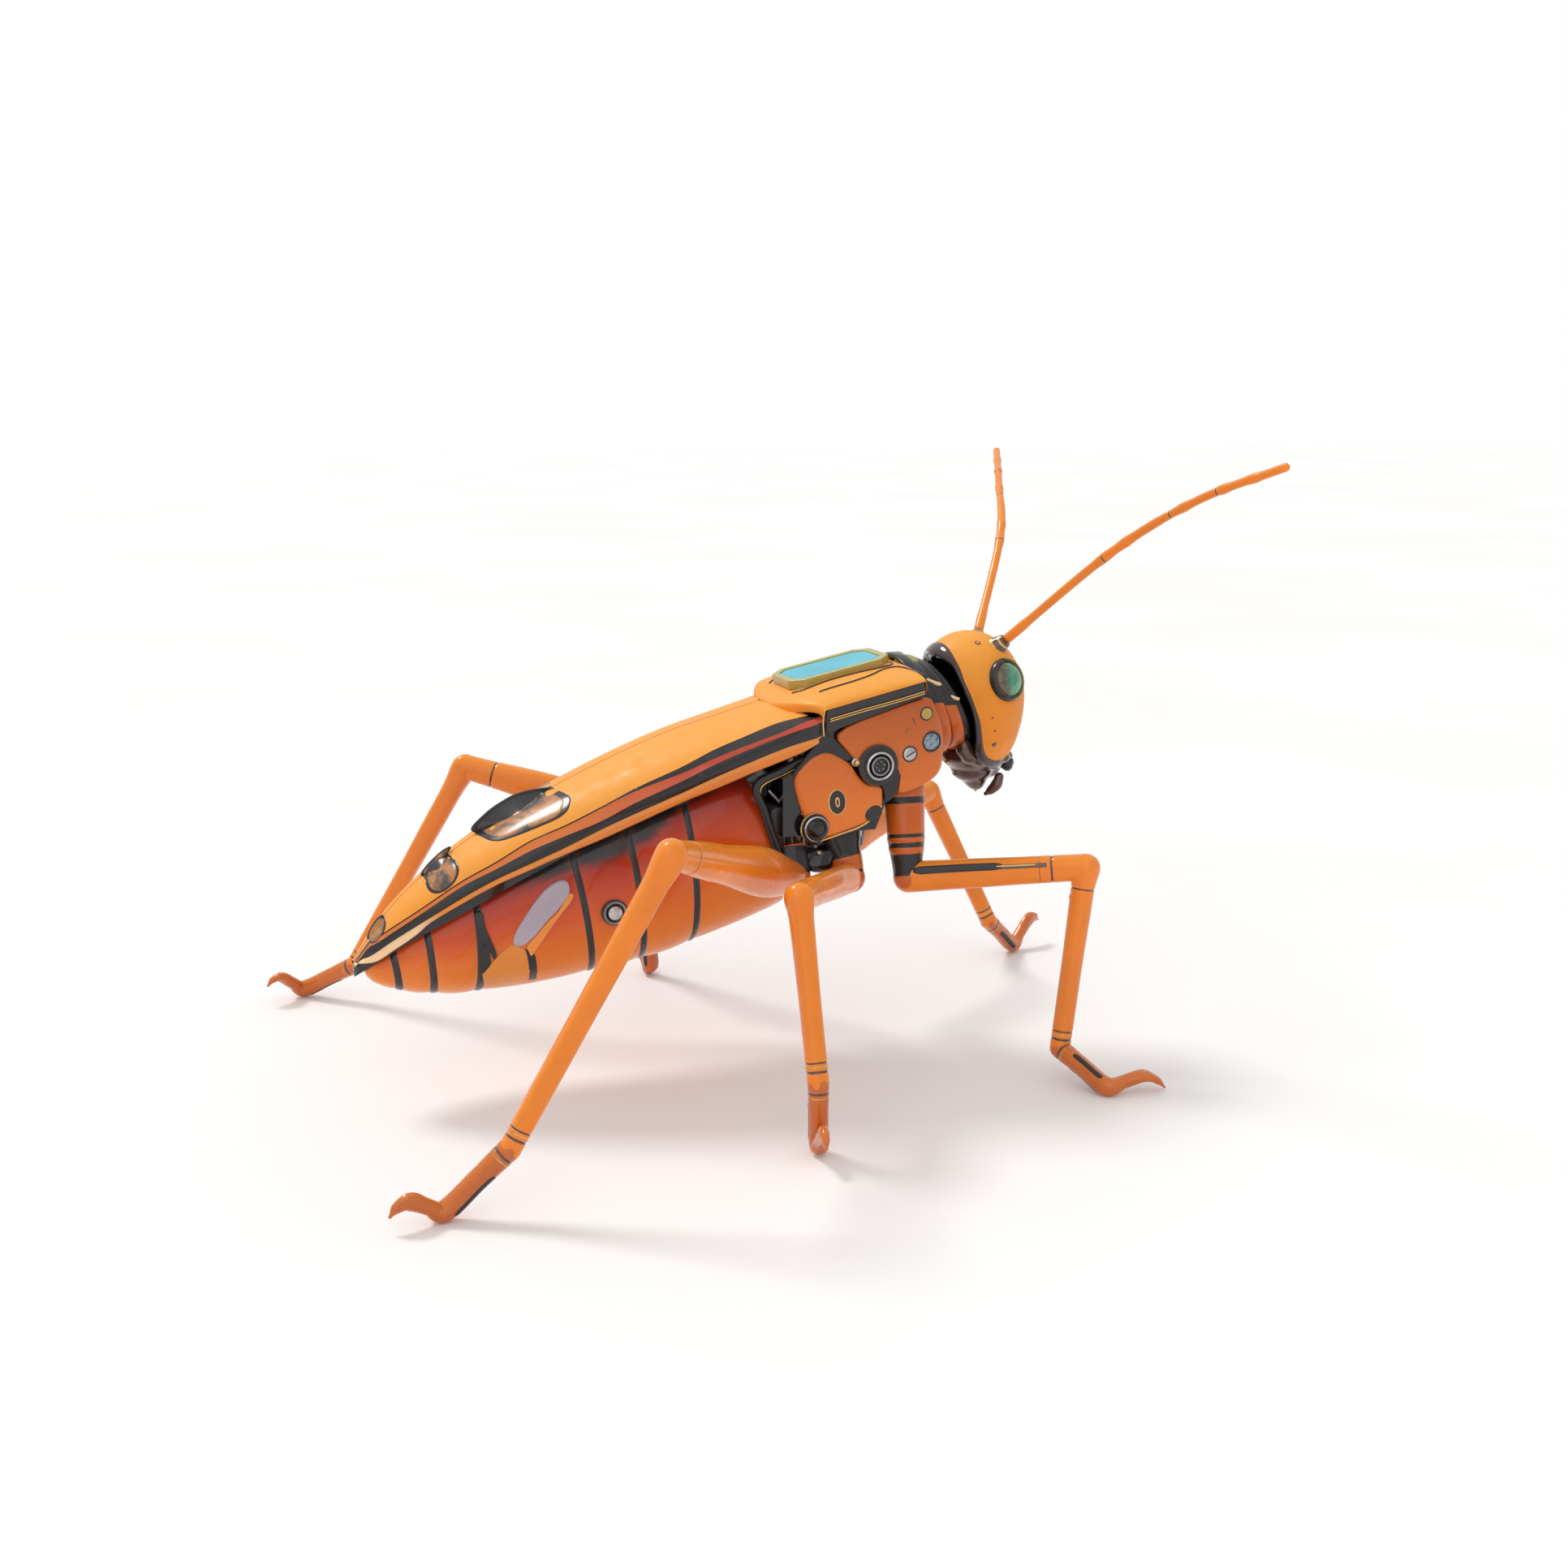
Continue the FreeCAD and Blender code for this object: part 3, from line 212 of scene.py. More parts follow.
def plastic(name, colour, top=None, rough=0.2, coat=0.3, metallic=0.0, wear=0.35, height=None,
            paint=None):
    """Lacquered moulded plastic: mottled colour, a painted highlight on the upper side, worn edges
    and a fine grain.

    height is a ramp over the mesh's own "height" attribute; paint is called with the nodes and the
    colour so far and gives the final one."""
    n = Nodes(name)
    if height:
        level = n.add("ShaderNodeAttribute", attribute_name="height").outputs["Fac"]
        wobble = n.span(n.noise(70.0), 0.3, 0.7, -0.03, 0.03)
        tone = n.ramp(n.plus(level, wobble), height)
    else:
        tone = n.blend(n.span(n.noise(45.0), 0.35, 0.7), opaque(darker(colour, 0.9)),
                       opaque(darker(colour, 1.06)))
    # Painted highlight: faces that point up are blended towards the lighter top colour.
    if top:
        tone = n.blend(n.painted_top_light(), tone, opaque(top))
    if paint:
        tone = paint(n, tone)
    tone = n.blend(n.span(n.noise(420.0, 5.0), 0.42, 0.62, 0.0, 0.05), tone,
                   opaque(darker(colour, 0.55)))
    tone = n.blend(n.plus(n.edges(), wear, "MULTIPLY"), tone, opaque(paler(colour, 1.25, 0.06)))
    return n.finish(tone, (n.noise(260.0, 4.0), rough * 0.75, rough * 1.35),
                    (0.12, 0.06 * MM, n.noise(1900.0, 2.0)), Metallic=metallic, Coat_Weight=coat,
                    Coat_Roughness=0.06, IOR=1.36)


def glassy(name, deep, light, scale=160.0, twist=2.2, rough=0.05, coat=1.0, shade=None):
    """A polished lens or inlay: swirls of two colours under a clear coat.

    shade is a span of x in millimetres and the colour that lies behind it."""
    n = Nodes(name)
    swirl = n.noise(scale, 2.0, twist)
    tone = n.ramp(swirl, [(0.38, deep), (0.52, light), (0.66, deep)])
    if shade:
        (first, last), colour = shade
        wobble = n.span(swirl, 0.3, 0.7, -1.6 * MM, 1.6 * MM)
        tone = n.blend(n.along("X", first, last, wobble), opaque(colour), tone)
    flecks = n.span(n.noise(900.0, 2.0), 0.62, 0.72, 0.0, 0.5)
    tone = n.blend(flecks, tone, opaque(paler(light, 1.6, 0.05)))
    return n.finish(tone, (n.noise(300.0), rough, rough + 0.08), (0.15, 0.15 * MM, swirl),
                    Coat_Weight=coat, Coat_Roughness=0.03)


def metal(name, colour, rough):
    """Machined metal with fine tool marks."""
    n = Nodes(name)
    marks = n.noise(1500.0)
    tone = n.ramp(marks, [(0.3, darker(colour, 0.72)), (0.7, colour)])
    tone = n.blend(n.edges(), tone, opaque(paler(colour, 1.3)))
    return n.finish(tone, (marks, rough * 0.7, rough * 1.4), (0.2, 0.05 * MM, marks), Metallic=1.0)


def solar_material():
    """Turquoise cells under clear resin: fine finger lines and slightly uneven cells."""
    n = Nodes("solar_cells")
    fingers = n.wave(260.0, "X")
    bus = n.wave(27.0, "Y", 1.2)
    tone = n.ramp(n.noise(60.0), [(0.35, (0.004, 0.42, 0.56)), (0.65, (0.012, 0.56, 0.70))])
    tone = n.blend(n.span(fingers, 0.9, 1.0, 0.0, 0.3), tone, opaque((0.05, 0.66, 0.78)))
    tone = n.blend(n.span(bus, 0.985, 1.0, 0.0, 0.5), tone, opaque((0.10, 0.72, 0.80)))
    return n.finish(tone, (n.noise(300.0), 0.08, 0.2), IOR=1.3, Coat_Weight=0.25,
                    Coat_Roughness=0.02)


# The lighter second amber and second orange are painted highlights for faces that point up.
AMBER = (0.82, 0.26, 0.018)
AMBER_PAINTED_TOP_LIGHT = (0.90, 0.38, 0.055)
ORANGE = (0.84, 0.215, 0.012)
ORANGE_PAINTED_TOP_LIGHT = (0.88, 0.27, 0.022)
BURNT = (0.54, 0.10, 0.008)
CHARCOAL = (0.022, 0.020, 0.021)
GOLD = (0.75, 0.47, 0.16)
CREAM = (0.92, 0.62, 0.34)


def fade(axis, start, end, first, last=None):
    """A painter: the colour first at start, in millimetres along the axis, and at end the colour
    last or, without one, the colour so far."""
    return lambda n, tone: n.blend(n.along(axis, start, end), opaque(first),
                                   opaque(last) if last else tone)


# Every top colour in this table is a painted highlight on faces that point up.
MATERIALS = {
    "amber": plastic("amber_shell", AMBER, top=AMBER_PAINTED_TOP_LIGHT, rough=0.5, coat=0.04),
    "orange": plastic("orange_limb", ORANGE, top=ORANGE_PAINTED_TOP_LIGHT, rough=0.24),
    "burnt": plastic("burnt_orange", BURNT, top=(0.62, 0.15, 0.012), rough=0.2),
    "paw": plastic("paw_orange", (0.56, 0.12, 0.010), top=(0.66, 0.17, 0.015), rough=0.2, coat=0.6),
    # Painted shade: the side panels' orange darkens towards their top.
    "panel": plastic("panel_orange_painted_shade", BURNT, rough=0.22, paint=fade(
        "Z", 104, 74, (0.44, 0.085, 0.010), (0.78, 0.18, 0.012))),
    # Painted shade: the belly's orange darkens through red to charcoal towards the wing's lip above it.
    "belly": plastic("belly_shell_painted_shade", BURNT, rough=0.22, wear=0.1, height=[
        (0.0, (0.80, 0.23, 0.02)), (0.30, (0.72, 0.155, 0.010)), (0.50, (0.60, 0.075, 0.008)),
        (0.74, (0.42, 0.028, 0.008)), (0.84, (0.15, 0.015, 0.010)), (0.92, CHARCOAL)]),
    "red": plastic("red_stripe", (0.50, 0.055, 0.022), rough=0.22,
                   paint=fade("X", -40, -6, (0.66, 0.17, 0.02))),
    "charcoal": plastic("charcoal_gloss", CHARCOAL, top=(0.03, 0.028, 0.028), rough=0.22, coat=0.25,
                        wear=0.3),
    "black": plastic("black_gloss", (0.006, 0.004, 0.005), rough=0.1, coat=0.6, wear=0.15),
    "brown": plastic("brown_lacquer", (0.085, 0.038, 0.027), top=(0.17, 0.085, 0.06), rough=0.2,
                     coat=1.0, metallic=0.35),
    "rim": plastic("rim_lacquer", (0.020, 0.012, 0.014), top=(0.07, 0.030, 0.030), rough=0.14,
                   coat=0.8, wear=0.15),
    # The cream is used only for the painted highlights on the neck rings.
    "cream": plastic("cream_painted_highlight", CREAM, rough=0.2),
    "lip": plastic("orange_lip", (0.72, 0.20, 0.02), top=(0.82, 0.30, 0.05), rough=0.18,
                   paint=fade("X", -80, -74, CREAM)),
    "olive": plastic("olive_bezel", (0.44, 0.30, 0.06), top=(0.50, 0.44, 0.11), rough=0.25),
    "sage": plastic("sage_tab", (0.30, 0.28, 0.13), top=(0.44, 0.43, 0.22), rough=0.35),
    "gold": metal("gold_line", GOLD, rough=0.3),
    "silver": metal("silver_collar", (0.55, 0.53, 0.53), rough=0.28),
    "steel": metal("dark_steel", (0.25, 0.25, 0.27), rough=0.32),
    "solar": solar_material(),
    "eye": glassy("eye_glass", (0.02, 0.13, 0.07), (0.03, 0.30, 0.16), scale=90.0,
                  shade=((91.4, 93.2), (0.09, 0.05, 0.018))),
    "lens": glassy("lens_glass", (0.05, 0.09, 0.12), (0.22, 0.33, 0.40), scale=420.0),
    "inlay": glassy("inlay_glass", (0.075, 0.062, 0.058), (0.50, 0.20, 0.05), scale=75.0, twist=1.6,
                    rough=0.22, coat=0.15),
    "flap": plastic("flap_orange", (0.80, 0.27, 0.045), rough=0.25),
    "amber_low": plastic("amber_low", (0.72, 0.24, 0.035), rough=0.25),
    "window": plastic("window_pane", (0.42, 0.36, 0.42), rough=0.35, wear=0.1),
    "board": plastic("board_green", (0.03, 0.20, 0.09), rough=0.45, coat=0.1),
    "wrap": plastic("cell_wrap", (0.10, 0.25, 0.45), rough=0.35),
}


# --- building meshes ------------------------------------------------------------------------------

def piece(name, points, faces, body, material, side=1, replaces=(), slot=None, marks=None,
          heights=None, crease=None):
    """A mesh piece riding on a CAD body.  material is one name or a list that marks picks from."""
    names = [material] if isinstance(material, str) else list(material)
    mesh = bpy.data.meshes.new(name)
    mesh.from_pydata([at(p, side) for p in points], [], faces)
    for word in names:
        mesh.materials.append(MATERIALS[word])
    if marks:
        mesh.polygons.foreach_set("material_index", marks)
    if heights:
        layer = mesh.attributes.new("height", "FLOAT", "POINT")
        layer.data.foreach_set("value", heights)
    shape = bmesh.new()
    shape.from_mesh(mesh)
    bmesh.ops.recalc_face_normals(shape, faces=shape.faces)
    shape.to_mesh(mesh)
    shape.free()
    mesh.shade_smooth()
    if crease:
        mesh.set_sharp_from_angle(angle=math.radians(crease))
    thing = bpy.data.objects.new(name, mesh)
    bpy.context.scene.collection.objects.link(thing)
    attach(thing, body)
    if replaces:
        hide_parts(*replaces)
    return thing


def band_faces(rows, columns, closed_rows=False, closed_columns=False):
    """Quads of a grid whose points are listed row by row."""
    faces = []
    for i in range(rows if closed_rows else rows - 1):
        for j in range(columns if closed_columns else columns - 1):
            k, m = (i + 1) % rows, (j + 1) % columns
            faces.append((i * columns + j, i * columns + m, k * columns + m, k * columns + j))
    return faces


def tube_faces(rows, columns):
    """Quads of a grid closed round its columns, with a flat cap on each end."""
    caps = [tuple(range(columns)), tuple(range((rows - 1) * columns, rows * columns))]
    return band_faces(rows, columns, closed_columns=True) + caps


def catmull(points, u):
    """The point at u of a smooth line through points, u counting the points."""
    i = min(int(u), len(points) - 2)
    t = u - i
    b, c = points[i], points[i + 1]
    a = points[i - 1] if i else b * 2 - c
    d = points[i + 2] if i + 2 < len(points) else c * 2 - b
    return (b * 2 + (c - a) * t + (a * 2 - b * 5 + c * 4 - d) * t * t
            + (b * 3 - a - c * 3 + d) * t**3) * 0.5


class Rod:
    """A rod with oval sections and round ends along a smooth line through a few points.

    sizes gives (half width sideways, half height) at each point; up is the height's direction.
    bands are (start, end, material number, sunk) by length along the rod."""

    SIDES_ROUND = 28
    CAP_RINGS = 6

    def __init__(self, points, sizes, up, bands=(), step=0.8, sharp=2.0):
        points = [Vector(p) for p in points]
        sizes = [size if isinstance(size, tuple) else (size, size) for size in sizes]
        fine = 20 if len(points) > 2 else 1
        samples = []
        for k in range((len(points) - 1) * fine + 1):
            u = k / fine
            i = min(int(u), len(points) - 2)
            share = u - i
            share = share * share * (3 - 2 * share) if len(points) > 2 else share
            size = tuple(mix(a, b, share) for a, b in zip(sizes[i], sizes[i + 1]))
            samples.append((catmull(points, u), size))
        self.samples = samples
        self.lengths = [0.0]
        for (a, _), (b, _) in zip(samples, samples[1:]):
            self.lengths.append(self.lengths[-1] + (b - a).length)
        self.long = self.lengths[-1]
        self.bands = bands
        self.sharp = sharp
        self.frames = []
        normal = Vector(up)
        for k in range(len(samples)):
            a = samples[max(k - 1, 0)][0]
            b = samples[min(k + 1, len(samples) - 1)][0]
            tangent = (b - a).normalized()
            normal = (normal - tangent * normal.dot(tangent)).normalized()
            self.frames.append((tangent, normal, tangent.cross(normal)))
        marks = {0.0, self.long}
        marks |= {k * step for k in range(1, int(self.long / step) + 1)}
        self.stations = sorted(s for s in marks if 0 <= s <= self.long)
        for start, end, _, _ in bands:
            for edge in (start, end):
                self.stations = [s for s in self.stations if abs(s - edge) > 0.12]
                self.stations += [edge - 0.06, edge + 0.06]
        self.stations.sort()

    def section(self, s):
        """Centre, (width, height) and frame at a length along the rod."""
        s = min(max(s, 0.0), self.long)
        k = max(i for i in range(len(self.lengths) - 1) if self.lengths[i] <= s or i == 0)
        share = (s - self.lengths[k]) / max(self.lengths[k + 1] - self.lengths[k], 1e-9)
        (a, size_a), (b, size_b) = self.samples[k], self.samples[k + 1]
        size = tuple(mix(x, y, share) for x, y in zip(size_a, size_b))
        tangent, normal, across = (
            (x * (1 - share) + y * share).normalized()
            for x, y in zip(self.frames[k], self.frames[k + 1]))
        return a.lerp(b, share), size, (tangent, normal, across)

    def skin(self, s, angle, lift=0.0):
        """A point on the surface: angle 0 is up, and positive angles turn to one side."""
        centre, (wide, high), (_, normal, across) = self.section(s)
        c, t = math.cos(angle), math.sin(angle)
        power = 2.0 / self.sharp
        c = math.copysign(abs(c) ** power, c)
        t = math.copysign(abs(t) ** power, t)
        return centre + normal * (high + lift) * c + across * (wide + lift) * t

    def band_at(self, s):
        for start, end, number, sunk in self.bands:
            if start <= s <= end:
                return number, sunk
        return 0, 0.0

    def build(self, name, body, material, cap=(1.0, 1.0), **options):
        rings, numbers = [], []
        turns = [2 * math.pi * j / self.SIDES_ROUND for j in range(self.SIDES_ROUND)]

        def end_rings(s, sign, stretch):
            made = []
            centre, (wide, high), (tangent, _, _) = self.section(s)
            reach = stretch * (wide + high) / 2
            for k in range(1, self.CAP_RINGS + 1):
                angle = math.pi / 2 * min(k / self.CAP_RINGS, 0.985)
                offset = tangent * sign * reach * math.sin(angle)
                made.append([centre + (self.skin(s, t) - centre) * math.cos(angle) + offset
                             for t in turns])
            return made

        for ring in end_rings(0.0, -1, cap[0])[::-1]:
            rings.append(ring)
            numbers.append(self.band_at(0.0)[0])
        for s in self.stations:
            number, sunk = self.band_at(s)
            rings.append([self.skin(s, t, -sunk) for t in turns])
            numbers.append(number)
        for ring in end_rings(self.long, 1, cap[1]):
            rings.append(ring)
            numbers.append(self.band_at(self.long)[0])
        points = [p for ring in rings for p in ring]
        count = self.SIDES_ROUND
        faces = tube_faces(len(rings), count)
        marks = [min(numbers[i], numbers[i + 1]) for i in range(len(rings) - 1)
                 for _ in range(count)]
        marks += [numbers[0], numbers[-1]]
        return piece(name, points, faces, body, material, marks=marks, **options)


def inlay(name, rod, span, turn, material, body, lift=0.16, ends=0.8):
    """A raised strip on a rod's surface: span along it and turn about it (radians)."""
    rows, columns = 24, 7
    points = []
    for i in range(rows + 1):
        u = i / rows
        s = mix(span[0], span[1], u)
        narrow = min(1.0, math.sqrt(max(0.0, min(u, 1 - u) * 2 / ends * 4))) if ends else 1.0
        middle, half = (turn[0] + turn[1]) / 2, (turn[1] - turn[0]) / 2 * max(narrow, 0.05)
        for j in range(columns + 1):
            v = 2 * j / columns - 1
            edge = abs(v) > 0.99 or i in (0, rows)
            points.append(rod.skin(s, middle + half * v, -0.35 if edge else lift))
    return piece(name, points, band_faces(rows + 1, columns + 1), body, material)


WIRE_UP = (0.31, 0.42, 0.85)


def wire(name, points, radius, material, body, side=1):
    """A thin round line through points."""
    rod = Rod(points, [radius] * len(points), WIRE_UP, step=max(radius * 2.5, 0.6))
    rod.SIDES_ROUND = 10
    rod.CAP_RINGS = 3
    return rod.build(name, body, material, side=side)


def rounded(outline, passes=2):
    """Corner cutting of a closed outline."""
    for _ in range(passes):
        cut = []
        for (ax, az), (bx, bz) in zip(outline, outline[1:] + outline[:1]):
            cut += [(mix(ax, bx, 0.2), mix(az, bz, 0.2)), (mix(ax, bx, 0.8), mix(az, bz, 0.8))]
        outline = cut
    return outline


def oval_outline(x, z, half_x, half_z, tilt=0.0, count=28):
    points = []
    for k in range(count):
        angle = 2 * math.pi * k / count
        u, v = half_x * math.cos(angle), half_z * math.sin(angle)
        points.append((x + u * math.cos(tilt) - v * math.sin(tilt),
                       z + u * math.sin(tilt) + v * math.cos(tilt)))
    return points


def pillow(name, outline, skin, material, body, side=1, rise=0.3, edge=1.0, depth=1.6, crown=0.0,
           replaces=(), slot=None):
    """A plate over skin(x, z) -> y with rounded edges: rise is how far it stands proud."""
    middle = (sum(p[0] for p in outline) / len(outline), sum(p[1] for p in outline) / len(outline))
    fractions = [1.0, 0.985, 0.96, 0.92, 0.86, 0.76, 0.6, 0.4, 0.2]
    rings = [[(x, skin(x, z) + depth, z) for x, z in outline]]
    for f in fractions:
        ring = []
        for px, pz in outline:
            x, z = mix(middle[0], px, f), mix(middle[1], pz, f)
            inward = (1 - f) * math.hypot(px - middle[0], pz - middle[1])
            climb = min(1.0, inward / edge)
            lift = rise - edge * 0.5 * (1 - math.sqrt(1 - (1 - climb) ** 2))
            ring.append((x, skin(x, z) - lift - crown * (1 - f * f), z))
        rings.append(ring)
    points = [p for ring in rings for p in ring]
    count = len(outline)
    faces = band_faces(len(rings), count, closed_columns=True)
    points.append((middle[0], skin(*middle) - rise - crown, middle[1]))
    last = (len(rings) - 1) * count
    faces += [(last + j, last + (j + 1) % count, len(points) - 1) for j in range(count)]
    points.append((middle[0], skin(*middle) + depth, middle[1]))
    faces += [((j + 1) % count, j, len(points) - 1) for j in range(count)]
    return piece(name, points, faces, body, material, side=side, replaces=replaces, slot=slot,
                 crease=50)


def lathe(name, centre, axis, profile, materials, body, side=1, count=40, **options):
    """A turned piece: profile holds (radius, height, material number) along the axis."""
    axis = Vector(axis).normalized()
    across = axis.orthogonal().normalized()
    other = axis.cross(across)
    points, marks = [], []
    for radius, height, _ in profile:
        for j in range(count):
            angle = 2 * math.pi * j / count
            spoke = across * math.cos(angle) + other * math.sin(angle)
            points.append(Vector(centre) + axis * height + spoke * max(radius, 0.01))
    for _, _, number in profile[:-1]:
        marks += [number] * count
    marks += [profile[0][2], profile[-1][2]]
    return piece(name, points, tube_faces(len(profile), count), body, materials, side=side,
                 marks=marks, crease=35, **options)


# --- wings ----------------------------------------------------------------------------------------

wing_crest = smooth([(-96, 40), (-92, 45.8), (-86, 53.5), (-78, 61), (-66, 69.8), (-50, 79.2),
                     (-30, 88.6), (-8, 97.2), (10, 102.2), (21, 105)])
wing_edge = smooth([(-96, 38), (-92, 42.5), (-86, 47.5), (-78, 53), (-62, 61.8), (-40, 73.2),
                    (-17, 82.9), (6, 92.5), (30, 102)])
wing_lip = smooth([(-96, 36), (-92, 39.2), (-86, 43.6), (-78, 48.6), (-63, 57), (-51, 63.7),
                   (-27, 75.2), (1, 84.6), (30, 96.8)])
wing_half = smooth([(-96, 2.4), (-92, 5.4), (-86, 8.4), (-78, 11.4), (-66, 14.8), (-50, 18),
                    (-30, 20.5), (-8, 22), (10, 23), (30, 24)])
WING_GAP = 0.25
WING_REAR, WING_FRONT, FRONT_SWEEP = -96.0, 20.8, 0.37
WING_ROWS = 90


def sweep_at(x):
    """Slope of a slanted wing section, growing towards the swept front edge."""
    return FRONT_SWEEP * max(0.0, (x + 30) / (WING_FRONT + 30)) ** 2


def wing_point(station, turn, inset=0.0):
    """A point of the right wing's dome: turn 0 is the crest, 1 the lower edge."""
    slope = sweep_at(station)
    side_x = station + slope * wing_half(station)
    wide = wing_half(side_x) - inset
    angle = math.pi / 2 * turn
    y = WING_GAP + (wide - WING_GAP) * math.sin(angle)
    low, high = wing_edge(side_x), wing_crest(station) - inset
    return (station + slope * y, -y, low + (high - low) * math.cos(angle))


def wing_skin(x, z):
    """How far out (as -y) the right wing's dome lies at x and z, behind its swept part."""
    low, high = wing_edge(x), wing_crest(x)
    level = min(1.0, max(0.0, (z - low) / (high - low)))
    return -(WING_GAP + (wing_half(x) - WING_GAP) * math.sqrt(1 - level * level))


def wing_stations():
    return [mix(WING_REAR, WING_FRONT, (i / WING_ROWS) ** 1.15) for i in range(WING_ROWS + 1)]


amber_line = smooth([(-96.5, 42.8), (-91.5, 46.3), (-85.7, 50.9), (-76.8, 57.2), (-67.9, 63.2),
                     (-59, 68.1), (-49.5, 73.6), (-40.4, 77.4), (-31.2, 81.6), (-21.8, 86.0),
                     (-8.4, 91.2), (1.2, 95.2), (10.8, 98.4), (20.6, 101.4), (30, 103.6)])
red_low = smooth([(-96.7, 42.2), (-91.5, 45.2), (-85.7, 49.6), (-76.8, 55.9), (-67.9, 61.9),
                  (-59, 66.4), (-49.6, 71.2), (-40.5, 74.8), (-31.3, 78.2), (-21.9, 82.6),
                  (-8.4, 88), (1.2, 92.2), (10.8, 95.7), (20.6, 99.0), (30.5, 101.8)])
lip_high = smooth([(-96.5, 41.2), (-93.1, 41.9), (-85.8, 47.3), (-76.9, 53.3), (-68, 58.9),
                   (-59.1, 63.7), (-49.7, 67.8), (-40.6, 71.7), (-31.3, 75.9), (-22, 79.7),
                   (-8.5, 84.8), (1.1, 88.6), (10.8, 92.1), (20.6, 95.4), (31.5, 98.2)])
lip_low = smooth([(-96.5, 40.0), (-90.8, 41.1), (-85.9, 44.6), (-80, 49), (-77, 51.9),
                  (-68.1, 57.4), (-59.1, 62.2), (-49.8, 66.1), (-40.6, 69.8), (-31.4, 73.2),
                  (-22, 76.9), (-8.5, 82.2), (1.1, 85.4), (10.8, 88.9), (20.6, 92.2),
                  (27.2, 94.7), (31.8, 97.6)])


def wing_at(station, level, out=0.0):
    """A point of the right wing's outer wall at height level, pushed out from it."""
    slope = sweep_at(station)
    x = station + slope * wing_half(station)
    low, high = wing_edge(x), wing_crest(station)
    share = min(1.0, max(0.0, (level - low) / max(high - low, 0.1)))
    wide = WING_GAP + (wing_half(x) - WING_GAP) * math.sqrt(1 - share * share)
    wide = max(wide + out, 0.05)
    return (station + slope * wide, -wide, level)


def wing_top(side):
    """The domed cover: outer and inner skins joined all round."""
    columns = 24
    thick = 1.5
    points = []
    for station in wing_stations():
        x = station + sweep_at(station) * wing_half(station)
        low, high = wing_edge(x), wing_crest(station)
        share = min(0.93, max(0.0, (amber_line(x) - low) / (high - low)))
        end = math.acos(share) / (math.pi / 2)
        thin = min(thick, 0.4 * wing_half(station))
        for j in range(columns + 1):
            points.append(wing_point(station, end * j / columns))
        for j in range(columns, -1, -1):
            points.append(wing_point(station, end * j / columns, thin))
    piece(f"wing_top_{side}", points, tube_faces(WING_ROWS + 1, 2 * (columns + 1)),
          f"wing_{side}", "amber", side=SIDES[side], replaces=[f"wing_cover_{side}"],
          slot="amber_gloss", crease=50)


def wing_rail(side):
    """The rail below the cover: dark line, red stripe, charcoal band and an orange lip."""
    points, marks = [], []
    rows = wing_stations()
    for station in rows:
        x = station + sweep_at(station) * wing_half(station)
        high, bottom = amber_line(x), lip_low(x)
        high = min(high, mix(wing_edge(x), wing_crest(station), 0.93))
        red_top = high - mix(0.35, 1.7, ease(x, -32, 4)) * mix(1.0, 0.4, ease(x, 18, 30))
        red = min(red_low(x), red_top - 0.3)
        lip = min(max(lip_high(x), bottom + 0.5), red - 0.4)
        under = min(wing_lip(x), bottom - 0.5)
        thin = min(2.2, 0.45 * wing_half(x))
        stops = [(high, -0.6, 0), (high - 0.04, -0.1, 0), (high - 0.25, 0.05, 2),
                 (red_top, 0.05, 1), (red_top - 0.12, 0.2, 1), (red + 0.1, 0.25, 1),
                 (red, 0.1, 0), (red - 0.25, 0.06, 2), (mix(red, lip, 0.5), 0.2, 2),
                 (lip + 0.3, 0.1, 0), (lip, -0.05, 3), (mix(lip, bottom, 0.2), 0.45, 3),
                 (mix(lip, bottom, 0.5), 0.75, 3), (mix(lip, bottom, 0.85), 0.6, 3),
                 (bottom, 0.1, 0), (bottom + 0.1, -0.7, 0), (under, -1.0, 0),
                 (under + 0.2, -1.0 - thin, 0), (high - 0.4, -1.2 - thin * 0.6, 0)]
        for level, out, _ in stops:
            points.append(wing_at(station, level, out))
        marks.append([number for _, _, number in stops])
    count = len(marks[0])
    flat = [marks[i][j] for i in range(len(rows) - 1) for j in range(count)] + [0, 0]
    piece(f"wing_rail_stripes_{side}", points, tube_faces(len(rows), count), f"wing_{side}",
          ["black", "red", "charcoal", "lip"], side=SIDES[side], marks=flat,
          replaces=[f"wing_rail_{side}"], slot="charcoal", crease=40)


def slab(name, outer, inner, rows, columns, body, material, **options):
    """Two sheets of rows x columns points joined along their rims."""
    sheet = rows * columns
    faces = band_faces(rows, columns)
    faces += [tuple(sheet + k for k in reversed(face)) for face in faces]
    rim = list(range(columns))
    rim += [i * columns + columns - 1 for i in range(1, rows)]
    rim += [(rows - 1) * columns + j for j in range(columns - 2, -1, -1)]
    rim += [i * columns for i in range(rows - 2, 0, -1)]
    faces += [(a, b, sheet + b, sheet + a) for a, b in zip(rim, rim[1:] + rim[:1])]
    return piece(name, outer + inner, faces, body, material, crease=50, **options)


